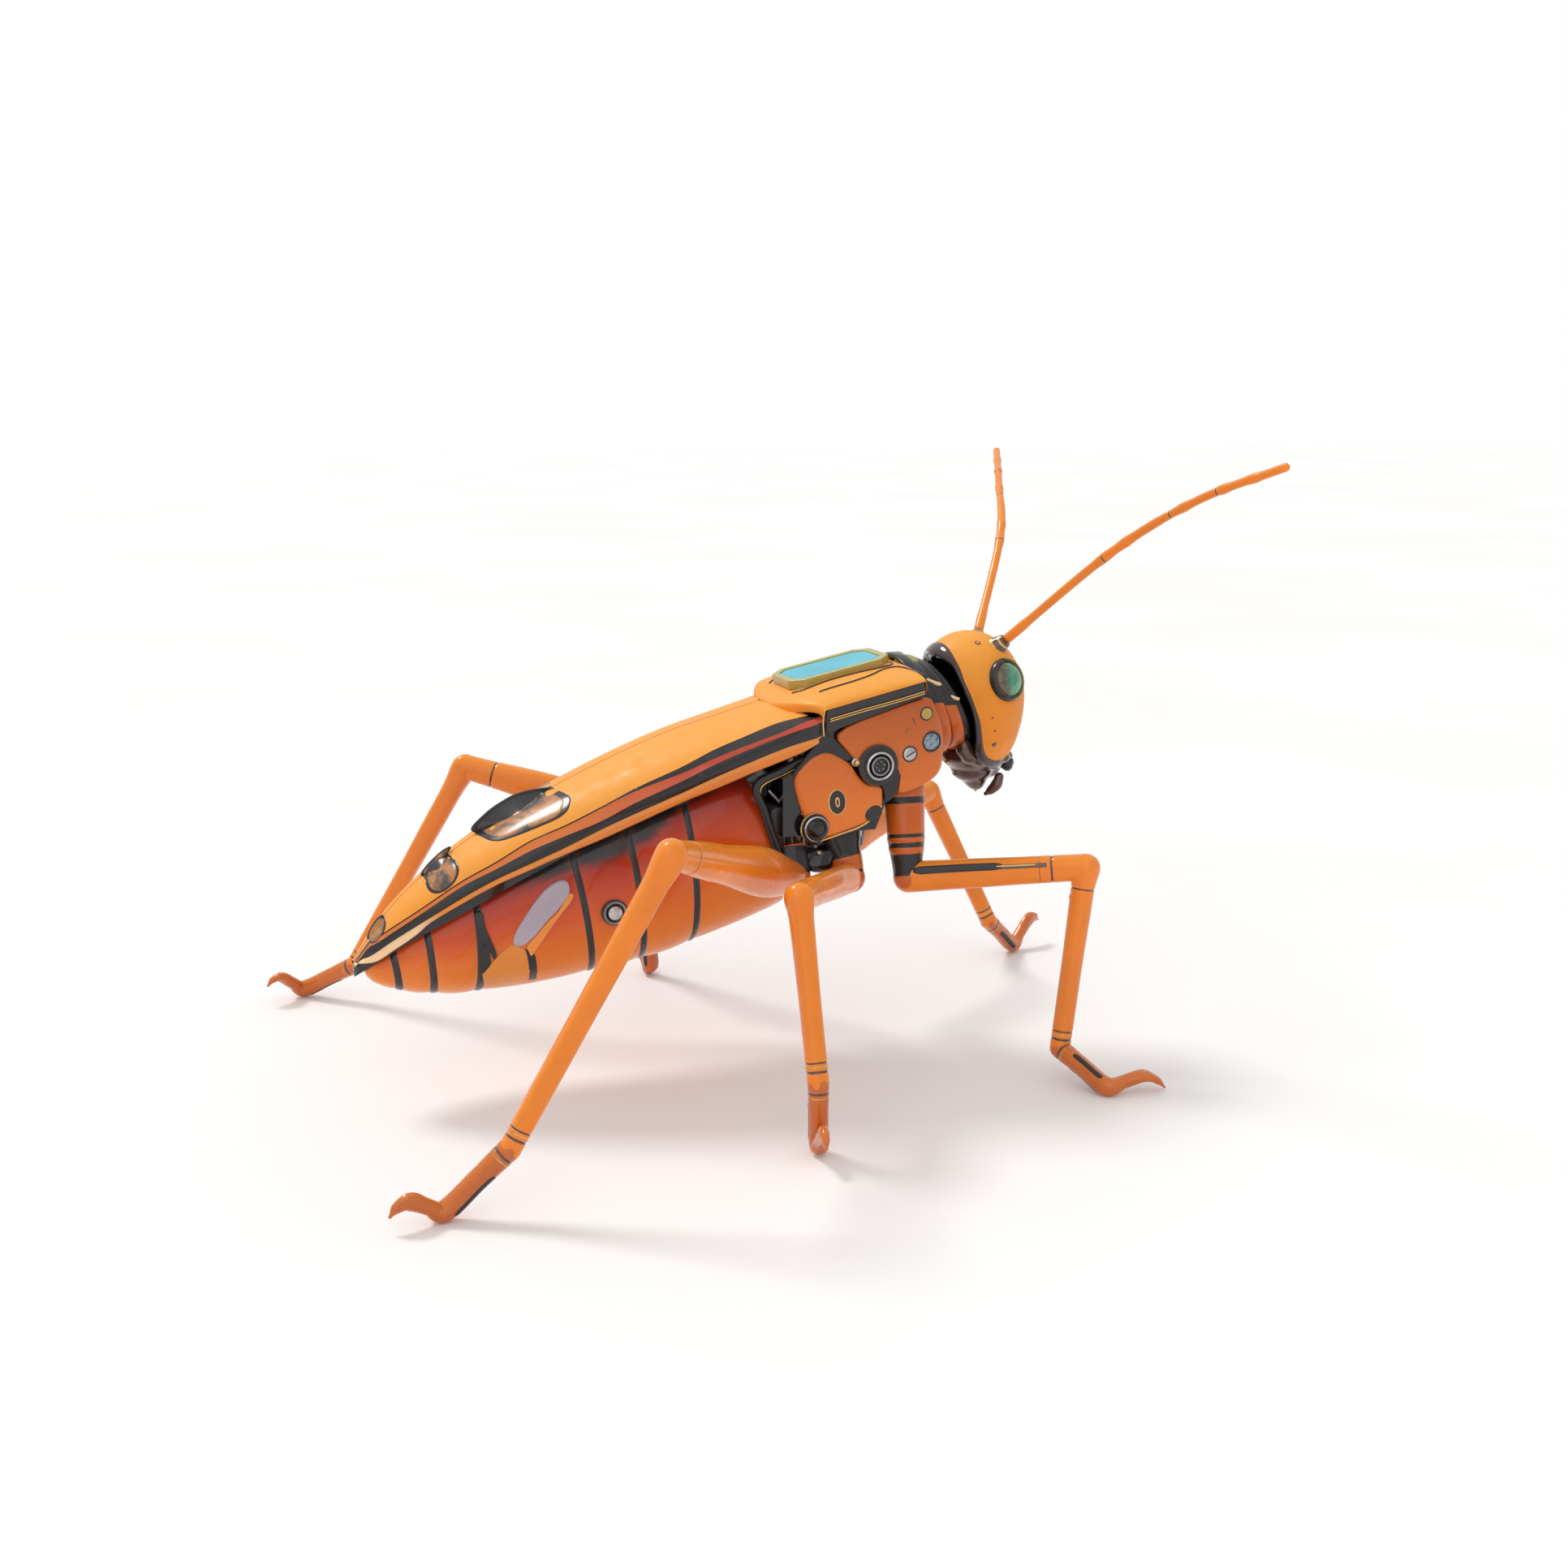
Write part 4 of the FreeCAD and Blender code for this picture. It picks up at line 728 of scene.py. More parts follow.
def shoulder(side):
    """Fixed strips that carry the wing's stripes on to the pronotum's trim."""
    station = WING_FRONT
    x = station + sweep_at(station) * wing_half(station)
    rise = 0.31
    amber = amber_line(x)
    red_top = amber - 0.7
    strips = [("top", wing_crest(station) * 0.3 + amber * 0.7, amber + 0.1, "amber"),
              ("dark", amber - 0.1, red_top, "charcoal"),
              ("red", red_top, red_low(x), "red"),
              ("band", red_low(x), lip_high(x), "charcoal"),
              ("lip", lip_high(x), lip_low(x), "lip")]
    steps = 4
    for word, high, low, material in strips:
        outer, inner = [], []
        for dx in (-1.5, 0.4, 2.2, 3.3):
            for k in range(steps + 1):
                level = mix(high, low, k / steps)
                px, py, pz = wing_at(station, min(level, wing_crest(station) * 0.98), -0.12)
                outer.append((px + dx, py, pz + rise * dx))
                inner.append((px + dx, py + 1.4, pz + rise * dx))
        slab(f"shoulder_{word}_{side}", outer, inner, 4, steps + 1, "thorax", material,
             side=SIDES[side])


def wing_inlays(side):
    """Glassy inlays near the tail: a leaf, a pair of ovals and a slim one at the tip."""
    outlines = {
        "leaf": rounded([(-62.0, 74.4), (-56, 79.6), (-49.3, 83.0), (-38.3, 83.7), (-41, 79.6),
                         (-49.5, 76.0), (-57.3, 73.0)], 3),
        "oval": oval_outline(-72.2, 63.8, 4.6, 2.2, 0.75),
        "high": oval_outline(-72.6, 66.0, 4.8, 0.9, 0.72),
        "tip": oval_outline(-89.6, 48.9, 3.4, 1.0, 0.98),
    }
    for word, outline in outlines.items():
        middle_x, middle_z = (sum(axis) / len(outline) for axis in zip(*outline))
        wide = [(x + (x - middle_x) * 0.16, z + (z - middle_z) * 0.16) for x, z in outline]
        for name, shape, material, options in (
                (f"inlay_{word}_rim", wide, "charcoal", dict(rise=0.22, edge=0.5, depth=0.5)),
                (f"inlay_{word}", outline, "inlay",
                 dict(rise=0.35, edge=0.8, depth=0.4, crown=0.35))):
            pillow(f"{name}_{side}", shape, wing_skin, material, f"wing_{side}", SIDES[side],
                   **options)


# --- abdomen --------------------------------------------------------------------------------------

belly_low = smooth([(-94, 38.6), (-92.4, 35.2), (-90, 33.4), (-86, 31.6), (-78, 29.6), (-66, 28.6),
                    (-50, 29.2), (-27, 31.5), (-8, 34.9), (20, 43.5), (30, 47)])
belly_top = smooth([(-94, 39.4), (-92.4, 41.4), (-90, 43.0), (-86, 46), (-78, 52.5), (-66, 61.5),
                    (-50, 71.5), (-30, 81), (-8, 88), (8, 91), (30, 93)])
belly_half = smooth([(-94, 0.3), (-92.4, 3.4), (-90, 5.2), (-86, 7.2), (-78, 9.8), (-63, 13.2),
                     (-45, 16), (-20, 18), (0, 18.6), (30, 18.6)])
# Ring bands: x at z = 50 and how far their top leans back per mm of height.
RINGS = [(-87.1, 0.145), (-77.2, 0.095), (-63.7, 0.03), (-34.7, 0.177), (-19.1, 0.141),
         (-3.1, 0.096)]
RING_HALF = 0.95
BELLY_TIP, BELLY_FRONT = (-94.0, 0.0), (24.4, 0.325)
BELLY_COLUMNS = 72


def leaning(line, z):
    return line[0] - line[1] * (z - 50)


def belly_skin(x, z):
    """How far out (as -y) the right side of the belly lies at x and z."""
    low, high = belly_low(x), belly_top(x)
    level = (z - (low + high) / 2) / ((high - low) / 2)
    return -belly_half(x) * math.sqrt(max(0.0, 1 - level * level))


# How far the painted shade's charcoal reaches down from the wing's lip along the belly.
painted_shade_reach = smooth([(-94, -1.0), (-83, 0.2), (-76, 2.4), (-68, 3.4), (-58, 3.9), (-50, 4.8), (-44, 5.9),
               (-36, 6.8), (-25, 8.2), (-16, 7.4), (-9, 4.6), (3, 3.2), (12, 3.0), (28, 3.0)])


def belly_shade_level(x, z):
    """Level of the painted shade under the wing: 0 at the keel, 0.8 where the charcoal begins and 1 well inside
    it.
    """
    low, top = belly_low(x), lip_low(x) - painted_shade_reach(x)
    level = (z - low) / max(top - low, 5)
    level *= mix(0.72, 1.0, ease(x, -86, -58))
    return min(1.0, max(0.0, 0.8 * min(level, 1) + 0.2 * max(0.0, (z - top) / 1.6)))


def belly_ring(x_of, angle, swell):
    """The point of the belly at an angle where its x follows x_of(z)."""
    x = x_of(50.0)
    for _ in range(4):
        low, high = belly_low(x), belly_top(x)
        z = (low + high) / 2 + ((high - low) / 2 + swell) * math.sin(angle)
        x = x_of(z)
    return (x, (belly_half(x) + swell) * math.cos(angle), z)


def belly_tube(name, first, last, rows, swell, material, **options):
    """A closed shell of belly between two leaning lines, swollen by swell(share)."""
    thick = 1.3
    points, heights = [], []
    profile = [(i / rows, swell(i / rows)) for i in range(rows + 1)]
    profile += [(share, out - thick) for share, out in profile[::-1]]
    for share, out in profile:
        for j in range(BELLY_COLUMNS):
            angle = 2 * math.pi * j / BELLY_COLUMNS
            point = belly_ring(lambda z: mix(first(z), last(z), share), angle, out)
            points.append(point)
            heights.append(belly_shade_level(point[0], point[2]))
    faces = band_faces(len(profile), BELLY_COLUMNS, closed_rows=True, closed_columns=True)
    return piece(name, points, faces, "thorax", material, heights=heights, crease=50, **options)


def abdomen():
    borders = [BELLY_TIP] + RINGS + [BELLY_FRONT]
    for i, (a, b) in enumerate(zip(borders, borders[1:])):
        start = RING_HALF if i else 0.05
        end = RING_HALF if i < len(RINGS) else 0.0
        long = b[0] - a[0]
        belly_tube(f"belly_segment_{i + 1}",
                   lambda z, a=a, start=start: leaning(a, z) + start,
                   lambda z, b=b, end=end: leaning(b, z) - end,
                   max(6, int(long / 1.6)),
                   lambda u, long=long: 0.5 * min(1.0, long / 14) * math.sin(math.pi * u) ** 0.6,
                   "belly", slot="deep_orange",
                   replaces=["abdomen_shell"] if i == 0 else ())
    for i, line in enumerate(RINGS):
        belly_tube(f"belly_ring_{i + 1}",
                   lambda z, line=line: leaning(line, z) - ring_half(z),
                   lambda z, line=line: leaning(line, z) + ring_half(z),
                   3, lambda u: 0.28 if 0 < u < 1 else 0.0, "charcoal", slot="charcoal",
                   replaces=["abdomen_gaskets"] if i == 0 else ())


def ring_half(z):
    """Half a ring's width, which grows a little below."""
    return RING_HALF * (1.0 + 0.25 * (1 - ease(z, 30, 36)))


# Flat details on the belly: name, outline, corner cuts, material and pillow options.
BELLY_DETAILS = [
    ("window", [(-39.5, 61.0), (-39.3, 58.0), (-42.8, 53.6), (-46.0, 50.6), (-48.8, 47.0),
                (-52.6, 43.6), (-55.2, 44.6), (-54.4, 48.4), (-49.4, 55.6), (-46.2, 59.2),
                (-43.2, 61.2), (-41.0, 61.8)], 2, "window",
     dict(rise=0.85, edge=0.7, replaces=["abdomen_windows"], slot="window_grey")),
    ("window_flap", [(-39.6, 58.4), (-38.0, 57.4), (-42.8, 51.6), (-47.4, 44.8), (-48.8, 42.6),
                     (-50.2, 40.3), (-51.6, 43.6), (-48.8, 46.9), (-45.9, 50.4), (-42.6, 53.4)], 1,
     "flap", dict(rise=0.9, edge=0.6)),
    ("band_wide", [(-64.9, 54.0), (-62.7, 54.2), (-62.3, 50.0), (-60.9, 45.6), (-61.3, 43.0),
                   (-60.8, 38.9), (-62.9, 36.0), (-63.9, 36.2), (-63.9, 43.2), (-64.1, 49.0)], 1,
     "charcoal", dict(rise=0.75, edge=0.4, depth=0.8)),
    ("band_prong", [(-62.8, 51.0), (-61.0, 46.6), (-59.2, 41.8), (-60.2, 40.0), (-61.6, 44.8),
                    (-62.8, 48.6)], 1, "charcoal", dict(rise=0.82, edge=0.4, depth=0.8)),
    ("lower_panel", [(-63.1, 36.4), (-61.0, 38.9), (-59.4, 41.2), (-57.2, 43.2), (-55.1, 44.8),
                     (-52.0, 43.0), (-50.9, 41.4), (-49.9, 36.6), (-49.2, 31.0), (-55.0, 29.8),
                     (-61.6, 30.2), (-62.8, 35.0)], 1, "amber_low",
     dict(rise=0.7, edge=0.5, depth=1.0)),
    ("band_short", [(-51.8, 43.4), (-51.0, 42.8), (-50.2, 40.8), (-49.2, 41.8), (-48.0, 36.3),
                    (-47.2, 30.4), (-49.6, 30.0), (-50.6, 38.1)], 1, "charcoal",
     dict(rise=0.82, edge=0.4, depth=0.8)),
]


def on_side(side, options):
    """A node that both sides share is replaced by the right-hand piece alone."""
    return options if side == "right" else {**options, "replaces": ()}


def plates(side, skin, rows):
    """Pillows on one side of the thorax."""
    for word, outline, cuts, material, options in rows:
        pillow(f"{word}_{side}", rounded(outline, cuts), skin, material, "thorax", SIDES[side],
               **on_side(side, options))


def turned(side, body, rows):
    """Turned parts on one side: name, centre, axis, profile, materials and lathe options."""
    for word, centre, axis, profile, materials, options in rows:
        lathe(f"{word}_{side}", centre, axis, profile, materials, body, SIDES[side],
              **on_side(side, options))


def side_wires(side, rows):
    """Thin lines on one side of the thorax: name, points, radius and material."""
    for word, points, radius, material in rows:
        wire(f"{word}_{side}", points, radius, material, "thorax", SIDES[side])


# --- thorax ---------------------------------------------------------------------------------------

PANEL_Y = -25.0
ROOF_HALF = 25.2
cover_crest = smooth([(21.5, 104.4), (24, 106.2), (27, 108.0), (31, 110.0), (36, 111.8),
                      (42, 113.1), (50, 114.5), (58, 115.2), (62.5, 114.5)])


def trim_top(x):
    return 105.2 + (x - 31) * 0.216


def panel_skin(x, z):
    """The side wall: a gentle belly that curves in towards the neck and the gap."""
    return PANEL_Y + 0.035 * max(0.0, x - 61.5) ** 2 + 0.01 * max(0.0, 34 - x) ** 2


def roof_z(x, y):
    """Height of the domed pronotum cover at x, and y across."""
    low = trim_top(x) + 0.1
    return low + (cover_crest(x) - low) * math.sqrt(max(0.0, 1 - (y / ROOF_HALF) ** 2))


def roof():
    """The pronotum cover: a dome that grows out of the wings and rounds off at the neck."""
    columns = 61
    rows = [(0.0, 1.6), (0.0, 0.5), (0.006, 0.12)]
    rows += [(0.012 + 0.96 * k / 28, 0.0) for k in range(29)]
    rows += [(0.982, 0.08), (0.992, 0.3), (0.998, 0.7), (1.0, 1.3), (1.0, 3.0)]
    outer, inner = [], []
    for share, drop in rows:
        for j in range(columns):
            angle = math.radians(mix(-90, 90, j / (columns - 1)))
            y = ROOF_HALF * math.sin(angle)
            bow = abs(math.sin(angle))
            x = mix(22.0 + 9.0 * bow ** 2.2, 63.4 - 1.2 * bow ** 2, share)
            z = roof_z(x, y) - drop
            outer.append((x, y, z))
            inner.append((x, y * 0.95, z - 1.3 * math.cos(angle) - 0.1))
    slab("pronotum_dome", outer, inner, len(rows), columns, "thorax", "amber",
         replaces=["pronotum_cover"], slot="amber_gloss")


PANELS = [
    ("front_panel", [(33.4, 99.3), (61.6, 107.4), (64.5, 106.6), (68.8, 97), (68.4, 87.2),
                     (65.8, 83.8), (53.6, 79.3), (54.8, 86.2), (50.4, 84.4), (44.4, 84.2),
                     (40.6, 91.0)], 2, "panel",
     dict(rise=0.25, edge=1.3, crown=0.25, slot="deep_orange", replaces=["side_panels_front"])),
    ("rear_panel", [(32.4, 94), (39.4, 90), (41.4, 86.6), (44.2, 83.6), (49.2, 82.8), (49.3, 78.8),
                    (48.5, 74.4), (42.4, 72), (30.1, 68.6), (25.4, 76.5), (22.6, 86.8),
                    (27.6, 92.2)], 2, "panel",
     dict(rise=0.2, edge=1.3, crown=0.3, slot="deep_orange", replaces=["side_panels_rear"])),
    ("panel_seam", [(22.4, 87.4), (31.2, 98.4), (33.4, 98.6), (40.8, 91.0), (38.6, 90.6),
                    (32.4, 94.4), (27.6, 92.4), (23.4, 87.2)], 1, "charcoal",
     dict(rise=-0.35, edge=0.5)),
    ("boss_strap", [(44.6, 92.6), (50.2, 92.2), (54.6, 86.8), (53.2, 80.2), (49.9, 77.6),
                    (49.2, 82.6), (46.6, 84.6)], 2, "charcoal", dict(rise=0.55, edge=0.7)),
]
# The gold-rimmed port and the plain oval hole of the rear panel.
PORT = (35.2, 79.4)
PORTS = [(f"port_{word}", oval_outline(*PORT, wide, high, 0.1), 0, material,
          dict(rise=rise, edge=0.25, depth=0.4))
         for word, wide, high, material, rise in (
             ("rim", 2.75, 3.75, "gold", 0.5), ("face", 2.4, 3.4, "charcoal", 0.6),
             ("slit", 0.75, 1.5, "gold", 0.72), ("core", 0.35, 0.95, "black", 0.8))]
PORTS.append(("side_hole", oval_outline(46.3, 75.3, 2.7, 2.1, 0.5), 0, "black",
              dict(rise=0.5, edge=0.3, depth=0.4)))
BOSS = (47.4, PANEL_Y, 89.1)
OUT = (0, -1, 0)
# Turned parts of the side panels: the boss with its screw, the nipple, the lens and two screws.
SIDE_PARTS = [
    ("boss_collar", BOSS, OUT,
     [(3.0, 0.2, 0), (5.9, 0.2, 0), (6.0, 0.9, 1), (5.8, 1.3, 0), (4.7, 1.6, 0), (4.3, 1.5, 2),
      (4.1, 2.3, 2), (3.7, 2.6, 2), (3.4, 2.4, 0), (3.0, 1.4, 0)],
     ["charcoal", "brown", "silver"], dict(slot="charcoal", replaces=["side_bosses"])),
    ("boss_screw", BOSS, OUT,
     [(2.95, 0.6, 0), (2.95, 2.0, 0), (2.7, 2.5, 0), (2.3, 2.6, 0), (2.15, 2.4, 1), (2.0, 1.9, 1),
      (0.3, 1.8, 1)], ["steel", "charcoal"],
     dict(count=24, slot="steel", replaces=["boss_screws"])),
    ("grease_nipple", (40.6, PANEL_Y, 90.4), OUT,
     [(0.9, -0.4, 0), (1.25, 0.6, 0), (1.0, 1.0, 0), (0.8, 1.1, 1), (0.7, 1.9, 1), (0.2, 2.3, 1)],
     ["silver", "gold"], dict(count=20)),
    ("side_lens", (63.8, PANEL_Y + 0.25, 94.7), OUT,
     [(2.3, 0.0, 0), (3.0, 0.0, 0), (3.05, 0.6, 0), (2.8, 0.85, 0), (2.5, 0.8, 0), (2.45, 0.4, 1),
      (2.3, 0.75, 1), (1.5, 1.15, 1), (0.2, 1.3, 1)],
     ["charcoal", "lens"], dict(slot="lens_blue", replaces=["side_lenses"])),
    ("oval_screw", (57.1, PANEL_Y, 91.6), OUT,
     [(1.7, 0.0, 0), (2.35, 0.0, 0), (2.4, 0.45, 0), (2.1, 0.7, 0), (1.9, 0.6, 1), (1.2, 0.95, 1),
      (0.2, 1.0, 1)], ["charcoal", "silver"], dict(slot="steel", replaces=["side_screws"])),
    ("top_screw", (62.1, PANEL_Y + 0.1, 102.8), OUT,
     [(1.3, 0.0, 0), (1.95, 0.0, 0), (2.0, 0.5, 0), (1.75, 0.75, 0), (1.6, 0.65, 1),
      (0.9, 0.85, 1), (0.2, 0.85, 1)], ["charcoal", "olive"], {}),
]
BOSS_PINS, PIN_CIRCLE = 6, 1.25
for pin in range(BOSS_PINS):
    angle = math.radians(360 / BOSS_PINS * pin + 15)
    spot = (BOSS[0] + PIN_CIRCLE * math.cos(angle), BOSS[1] - 1.7,
            BOSS[2] + PIN_CIRCLE * math.sin(angle))
    SIDE_PARTS.append((f"boss_pin_{pin + 1}", spot, OUT,
                       [(0.22, 0, 0), (0.22, 0.35, 0), (0.1, 0.5, 0)], ["silver"], dict(count=10)))


def on_panel(points, lift):
    """Points (x, z) laid on the side wall, lifted off it."""
    return [(x, panel_skin(x, z) - lift, z) for x, z in points]


SIDE_LINES = [
    ("panel_gold_edge", on_panel([(48.7, 77.2), (46.8, 74.4), (42.4, 71.8), (36.0, 70.0),
                                  (30.6, 68.6)], 0.1), 0.28, "gold"),
    ("oval_screw_slot", [(55.9, PANEL_Y - 0.95, 91.0), (57.1, PANEL_Y - 1.05, 91.6),
                         (58.3, PANEL_Y - 0.95, 92.2)], 0.2, "charcoal"),
    ("scratch_1", on_panel([(57.9, 101.9), (58.6, 100.0)], 0.42), 0.13, "brown"),
    ("scratch_2", on_panel([(55.6, 97.6), (56.6, 99.0)], 0.42), 0.13, "brown"),
]


def side_panels(side):
    plates(side, panel_skin, PANELS + PORTS)
    turned(side, "thorax", SIDE_PARTS)
    side_wires(side, SIDE_LINES)


# What shows in the gap behind the rear panel: frame, block, hub, tube end and beads.
GAP_FRAME = [(27.0, -20.5, 91.2), (20.6, -20.2, 88.4), (13.4, -19.4, 84.6), (15.6, -19.6, 77.0),
             (18.2, -19.8, 68.6), (20.8, -20.0, 61.4)]
GAP_LINES = [
    ("gap_gold_edge", [(x + 1.1, y - 0.7, z - 0.8) for x, y, z in GAP_FRAME], 0.24, "gold"),
    ("gap_strut", [(17.4, -19.0, 82.6), (21.4, -19.6, 78.0), (26.4, -20.0, 70.6),
                   (27.2, -20.2, 66.0)], 0.55, "steel"),
]
GAP_BLOCK = [("gap_block", [(16.6, 77.6), (23.4, 78.2), (26.4, 70.2), (24.6, 64.4),
                            (19.2, 65.6)], 2, "charcoal", dict(rise=0.8, edge=1.2, depth=6.0))]
GAP_CRESCENT = [("gap_crescent", [(20.6, 71.4), (20.8, 73.8), (22.6, 75.3), (24.6, 74.6),
                                  (24.0, 73.8), (22.8, 73.4), (22.2, 71.8), (22.0, 69.8)], 2,
                 "silver", dict(rise=0.35, edge=0.6, depth=0.8, crown=0.3))]
GAP_PARTS = [
    ("hub_drum", (28.6, -24.4, 72.5), OUT,
     [(2.6, 0, 0), (4.2, 0, 0), (4.3, 0.9, 1), (4.1, 1.2, 0), (3.7, 1.3, 0), (3.6, 2.2, 2),
      (3.3, 2.5, 0), (2.8, 2.6, 0), (2.4, 2.2, 3), (1.2, 2.7, 3), (0.2, 2.8, 3)],
     ["charcoal", "gold", "silver", "black"], dict(slot="charcoal", replaces=["hub_drums"])),
    ("tube_end", (25.6, -17.0, 62.6), (0.1, -1, -0.1),
     [(3.4, -4, 0), (3.5, 2.6, 0), (3.5, 3.2, 1), (3.1, 3.5, 1), (2.8, 3.1, 2), (0.4, 2.6, 2)],
     ["charcoal", "silver", "black"], {}),
]
BEADS = [(29.8, 66.6, 0.8), (31.0, 64.6, 0.9), (30.0, 68.2, 0.5), (25.6, 76.2, 0.5),
         (25.0, 74.6, 0.45)]
for bead, (x, z, size) in enumerate(BEADS):
    GAP_PARTS.append((f"bead_{bead + 1}", (x, -22.4, z), OUT,
                      [(size * 0.9, -2, 0), (size, 0, 0), (size * 0.8, 0.5 * size, 0),
                       (size * 0.3, 0.9 * size, 0)], ["silver" if bead % 2 else "steel"],
                      dict(count=16)))
HIP_LUMPS = [((24.2, -17.2, 61.4), (4.4, 4.8, 4.2)), ((29.0, -16.6, 62.6), (4.6, 4.6, 3.6)),
             ((33.6, -17.4, 62.6), (5.6, 4.6, 3.8)), ((32.0, -20.0, 60.2), (4.4, 2.8, 2.2)),
             ((30.6, -15.4, 67.4), (6.4, 4.6, 3.6))]


def gap_parts(side):
    rod = Rod(GAP_FRAME, [(1.1, 1.4)] * len(GAP_FRAME), OUT, sharp=3.2)
    rod.build(f"gap_frame_{side}", "thorax", "charcoal", side=SIDES[side])
    side_wires(side, GAP_LINES)
    plates(side, lambda x, z: -19.4, GAP_BLOCK)
    plates(side, lambda x, z: -20.4, GAP_CRESCENT)
    turned(side, "thorax", GAP_PARTS)
    blob(f"hip_housing_{side}", HIP_LUMPS, "thorax", "black", side=SIDES[side])


def roof_lines(side):
    """A pinstripe on the roof and gold lines along the trim and down its rear end."""
    run = catmull_run([(33, -17.4), (40, -17.6), (48, -16.6), (54, -13.8), (58, -13.4),
                       (60.6, -15.6), (62.0, -19.0), (62.4, -22.4)])
    rows = [("roof_line", on_roof(run), 0.3, "charcoal")]
    for k, drop in enumerate((0.0, 0.62)):
        line = [(33.0, 103.1), (42, 105.1), (52, 107.1), (61.2, 109.2)]
        rows.append((f"trim_gold_{k + 1}", [(x, PANEL_Y - 0.7, z - drop) for x, z in line], 0.2,
                     "gold"))
    rear = [(31.6, 106.0), (31.0, 102.4), (31.2, 98.4)]
    rows.append(("trim_end_gold", [(x, PANEL_Y - 0.1, z) for x, z in rear], 0.22, "gold"))
    side_wires(side, rows)


def on_roof(run):
    return [(x, y, roof_z(x, y) + 0.05) for x, y in run]


def catmull_run(corners, each=7):
    """A smooth dense line through the corners, seen from above."""
    count = (len(corners) - 1) * each
    flat = [Vector((x, y, 0)) for x, y in corners]
    return [tuple(catmull(flat, k / each)[:2]) for k in range(count + 1)]


def bezel_line():
    """A dark pinstripe beside the solar bezel, lying on the roof on both sides of it."""
    low, high = ((corner - DATUM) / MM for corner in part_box("solar_bezel"))
    edge, front, rear = high.y + 1.3, high.x + 0.6, low.x - 0.6
    run = catmull_run([(front, -edge + 6.0), (front - 1.5, -edge + 1.6), (front - 6, -edge),
                       (mix(front, rear, 0.5), -edge), (rear + 5, -edge),
                       (rear + 1.0, -edge + 2.4)])
    for side in SIDES:
        side_wires(side, [("bezel_pinstripe", on_roof(run), 0.3, "charcoal")])


# --- neck and head --------------------------------------------------------------------------------

HEAD = Vector((87.1, 0, 102.3))
HEAD_LONG, HEAD_WIDE, HEAD_UP, HEAD_DOWN = 17.0, 16.7, 19.9, 26.0
# Where the helmet ends, as degrees from straight ahead, by degrees round from the top.
helmet_edge = smooth([(0, 119), (16, 119), (35, 119), (48, 118), (63, 117), (77, 113), (92, 108),
                      (107, 102), (121, 98), (135, 93), (143, 86), (152, 70), (162, 59), (180, 52)])
rim_edge = smooth([(0, 133), (12, 131), (31, 127), (42, 124), (60, 121.5), (77, 118), (92, 112.5),
                   (111, 106.5), (125, 103), (139, 99), (148, 90), (160, 74), (180, 62)])


def head_ray(start, direction):
    """Where a ray from inside the head leaves its egg."""
    direction = Vector(direction).normalized()
    near, far = 0.0, 60.0
    for _ in range(32):
        middle = (near + far) / 2
        p = Vector(start) + direction * middle - HEAD
        tall = HEAD_UP if p.z > 0 else HEAD_DOWN
        inside = (p.x / HEAD_LONG) ** 2 + (p.y / HEAD_WIDE) ** 2 + (p.z / tall) ** 2 < 1
        near, far = (middle, far) if inside else (near, middle)
    return Vector(start) + direction * near


def head_skin(x, z):
    return head_ray((x, 0, z), OUT).y


def head_at(away, turn, swell=0.0):
    """A point of the head, away degrees from straight ahead and turn degrees round from the top."""
    away, turn = math.radians(away), math.radians(turn)
    direction = Vector((math.cos(away), -math.sin(away) * math.sin(turn),
                        math.sin(away) * math.cos(turn)))
    return head_ray(HEAD, direction) + direction * swell


def head_band(name, rows, material, pole=False, **options):
    """A closed band round the head; rows holds (share from helmet edge to rim edge, or below 0
    towards the face, swell).  With pole it ends in a cap on the face instead."""
    columns = 96
    points = []
    for share, swell in rows:
        for j in range(columns):
            turn = 360 * j / columns
            fold = min(turn, 360 - turn)
            first, last = helmet_edge(fold), rim_edge(fold)
            away = first * (1 + share) if share < 0 else mix(first, last, share)
            points.append(head_at(max(away, 0.8), turn, swell))
    faces = (tube_faces(len(rows), columns) if pole else
             band_faces(len(rows), columns, closed_rows=True, closed_columns=True))
    return piece(name, points, faces, "head", material, crease=50, **options)


def head():
    """The helmet, its thick dark rim and the black bowl inside."""
    steps = 34
    outer = [(-1 + i / steps, 0.0) for i in range(steps)] + [(-0.004, -0.05), (0.0, -0.35)]
    inner = [(-i / 8 if i < 8 else -0.999, -1.8) for i in range(9)]
    head_band("head_helmet", outer + inner, "amber", pole=True, replaces=["head_shell"],
              slot="amber_gloss")
    rim = [(0.0, -0.5), (0.0, 0.15), (0.08, 0.35), (0.3, 0.5), (0.55, 0.5), (0.8, 0.4), (0.95, 0.2),
           (1.0, 0.0), (0.97, -0.7), (0.8, -1.3), (0.4, -1.5), (0.1, -1.3)]
    head_band("head_rim", rim, "rim")
    lining = [(0.85, -1.2), (0.9, -1.5), (0.4, -2.0), (-0.3, -2.2), (-0.7, -2.2), (-0.72, -3.2),
              (-0.3, -3.2), (0.4, -3.0), (0.8, -2.4)]
    head_band("head_lining", lining, "black")


# x at the axis, backward lean of the top, half width, half height, half length, thickness, height
# where the orange turns charcoal, body and replaced nodes.
NECK_RINGS = [
    (67.0, 0.22, 17.6, 15.0, 2.0, 0.8, 96.0, "thorax", ["neck_post"]),
    (70.8, 0.36, 16.4, 13.9, 1.9, 0.9, 104.5, "thorax", ()),
    (75.0, 0.44, 15.0, 13.2, 2.1, 0.9, 103.0, "neck_collar", ["neck_collar"]),
    (78.2, 0.48, 13.6, 12.4, 1.2, 0.7, 60.0, "neck_collar", ()),
]
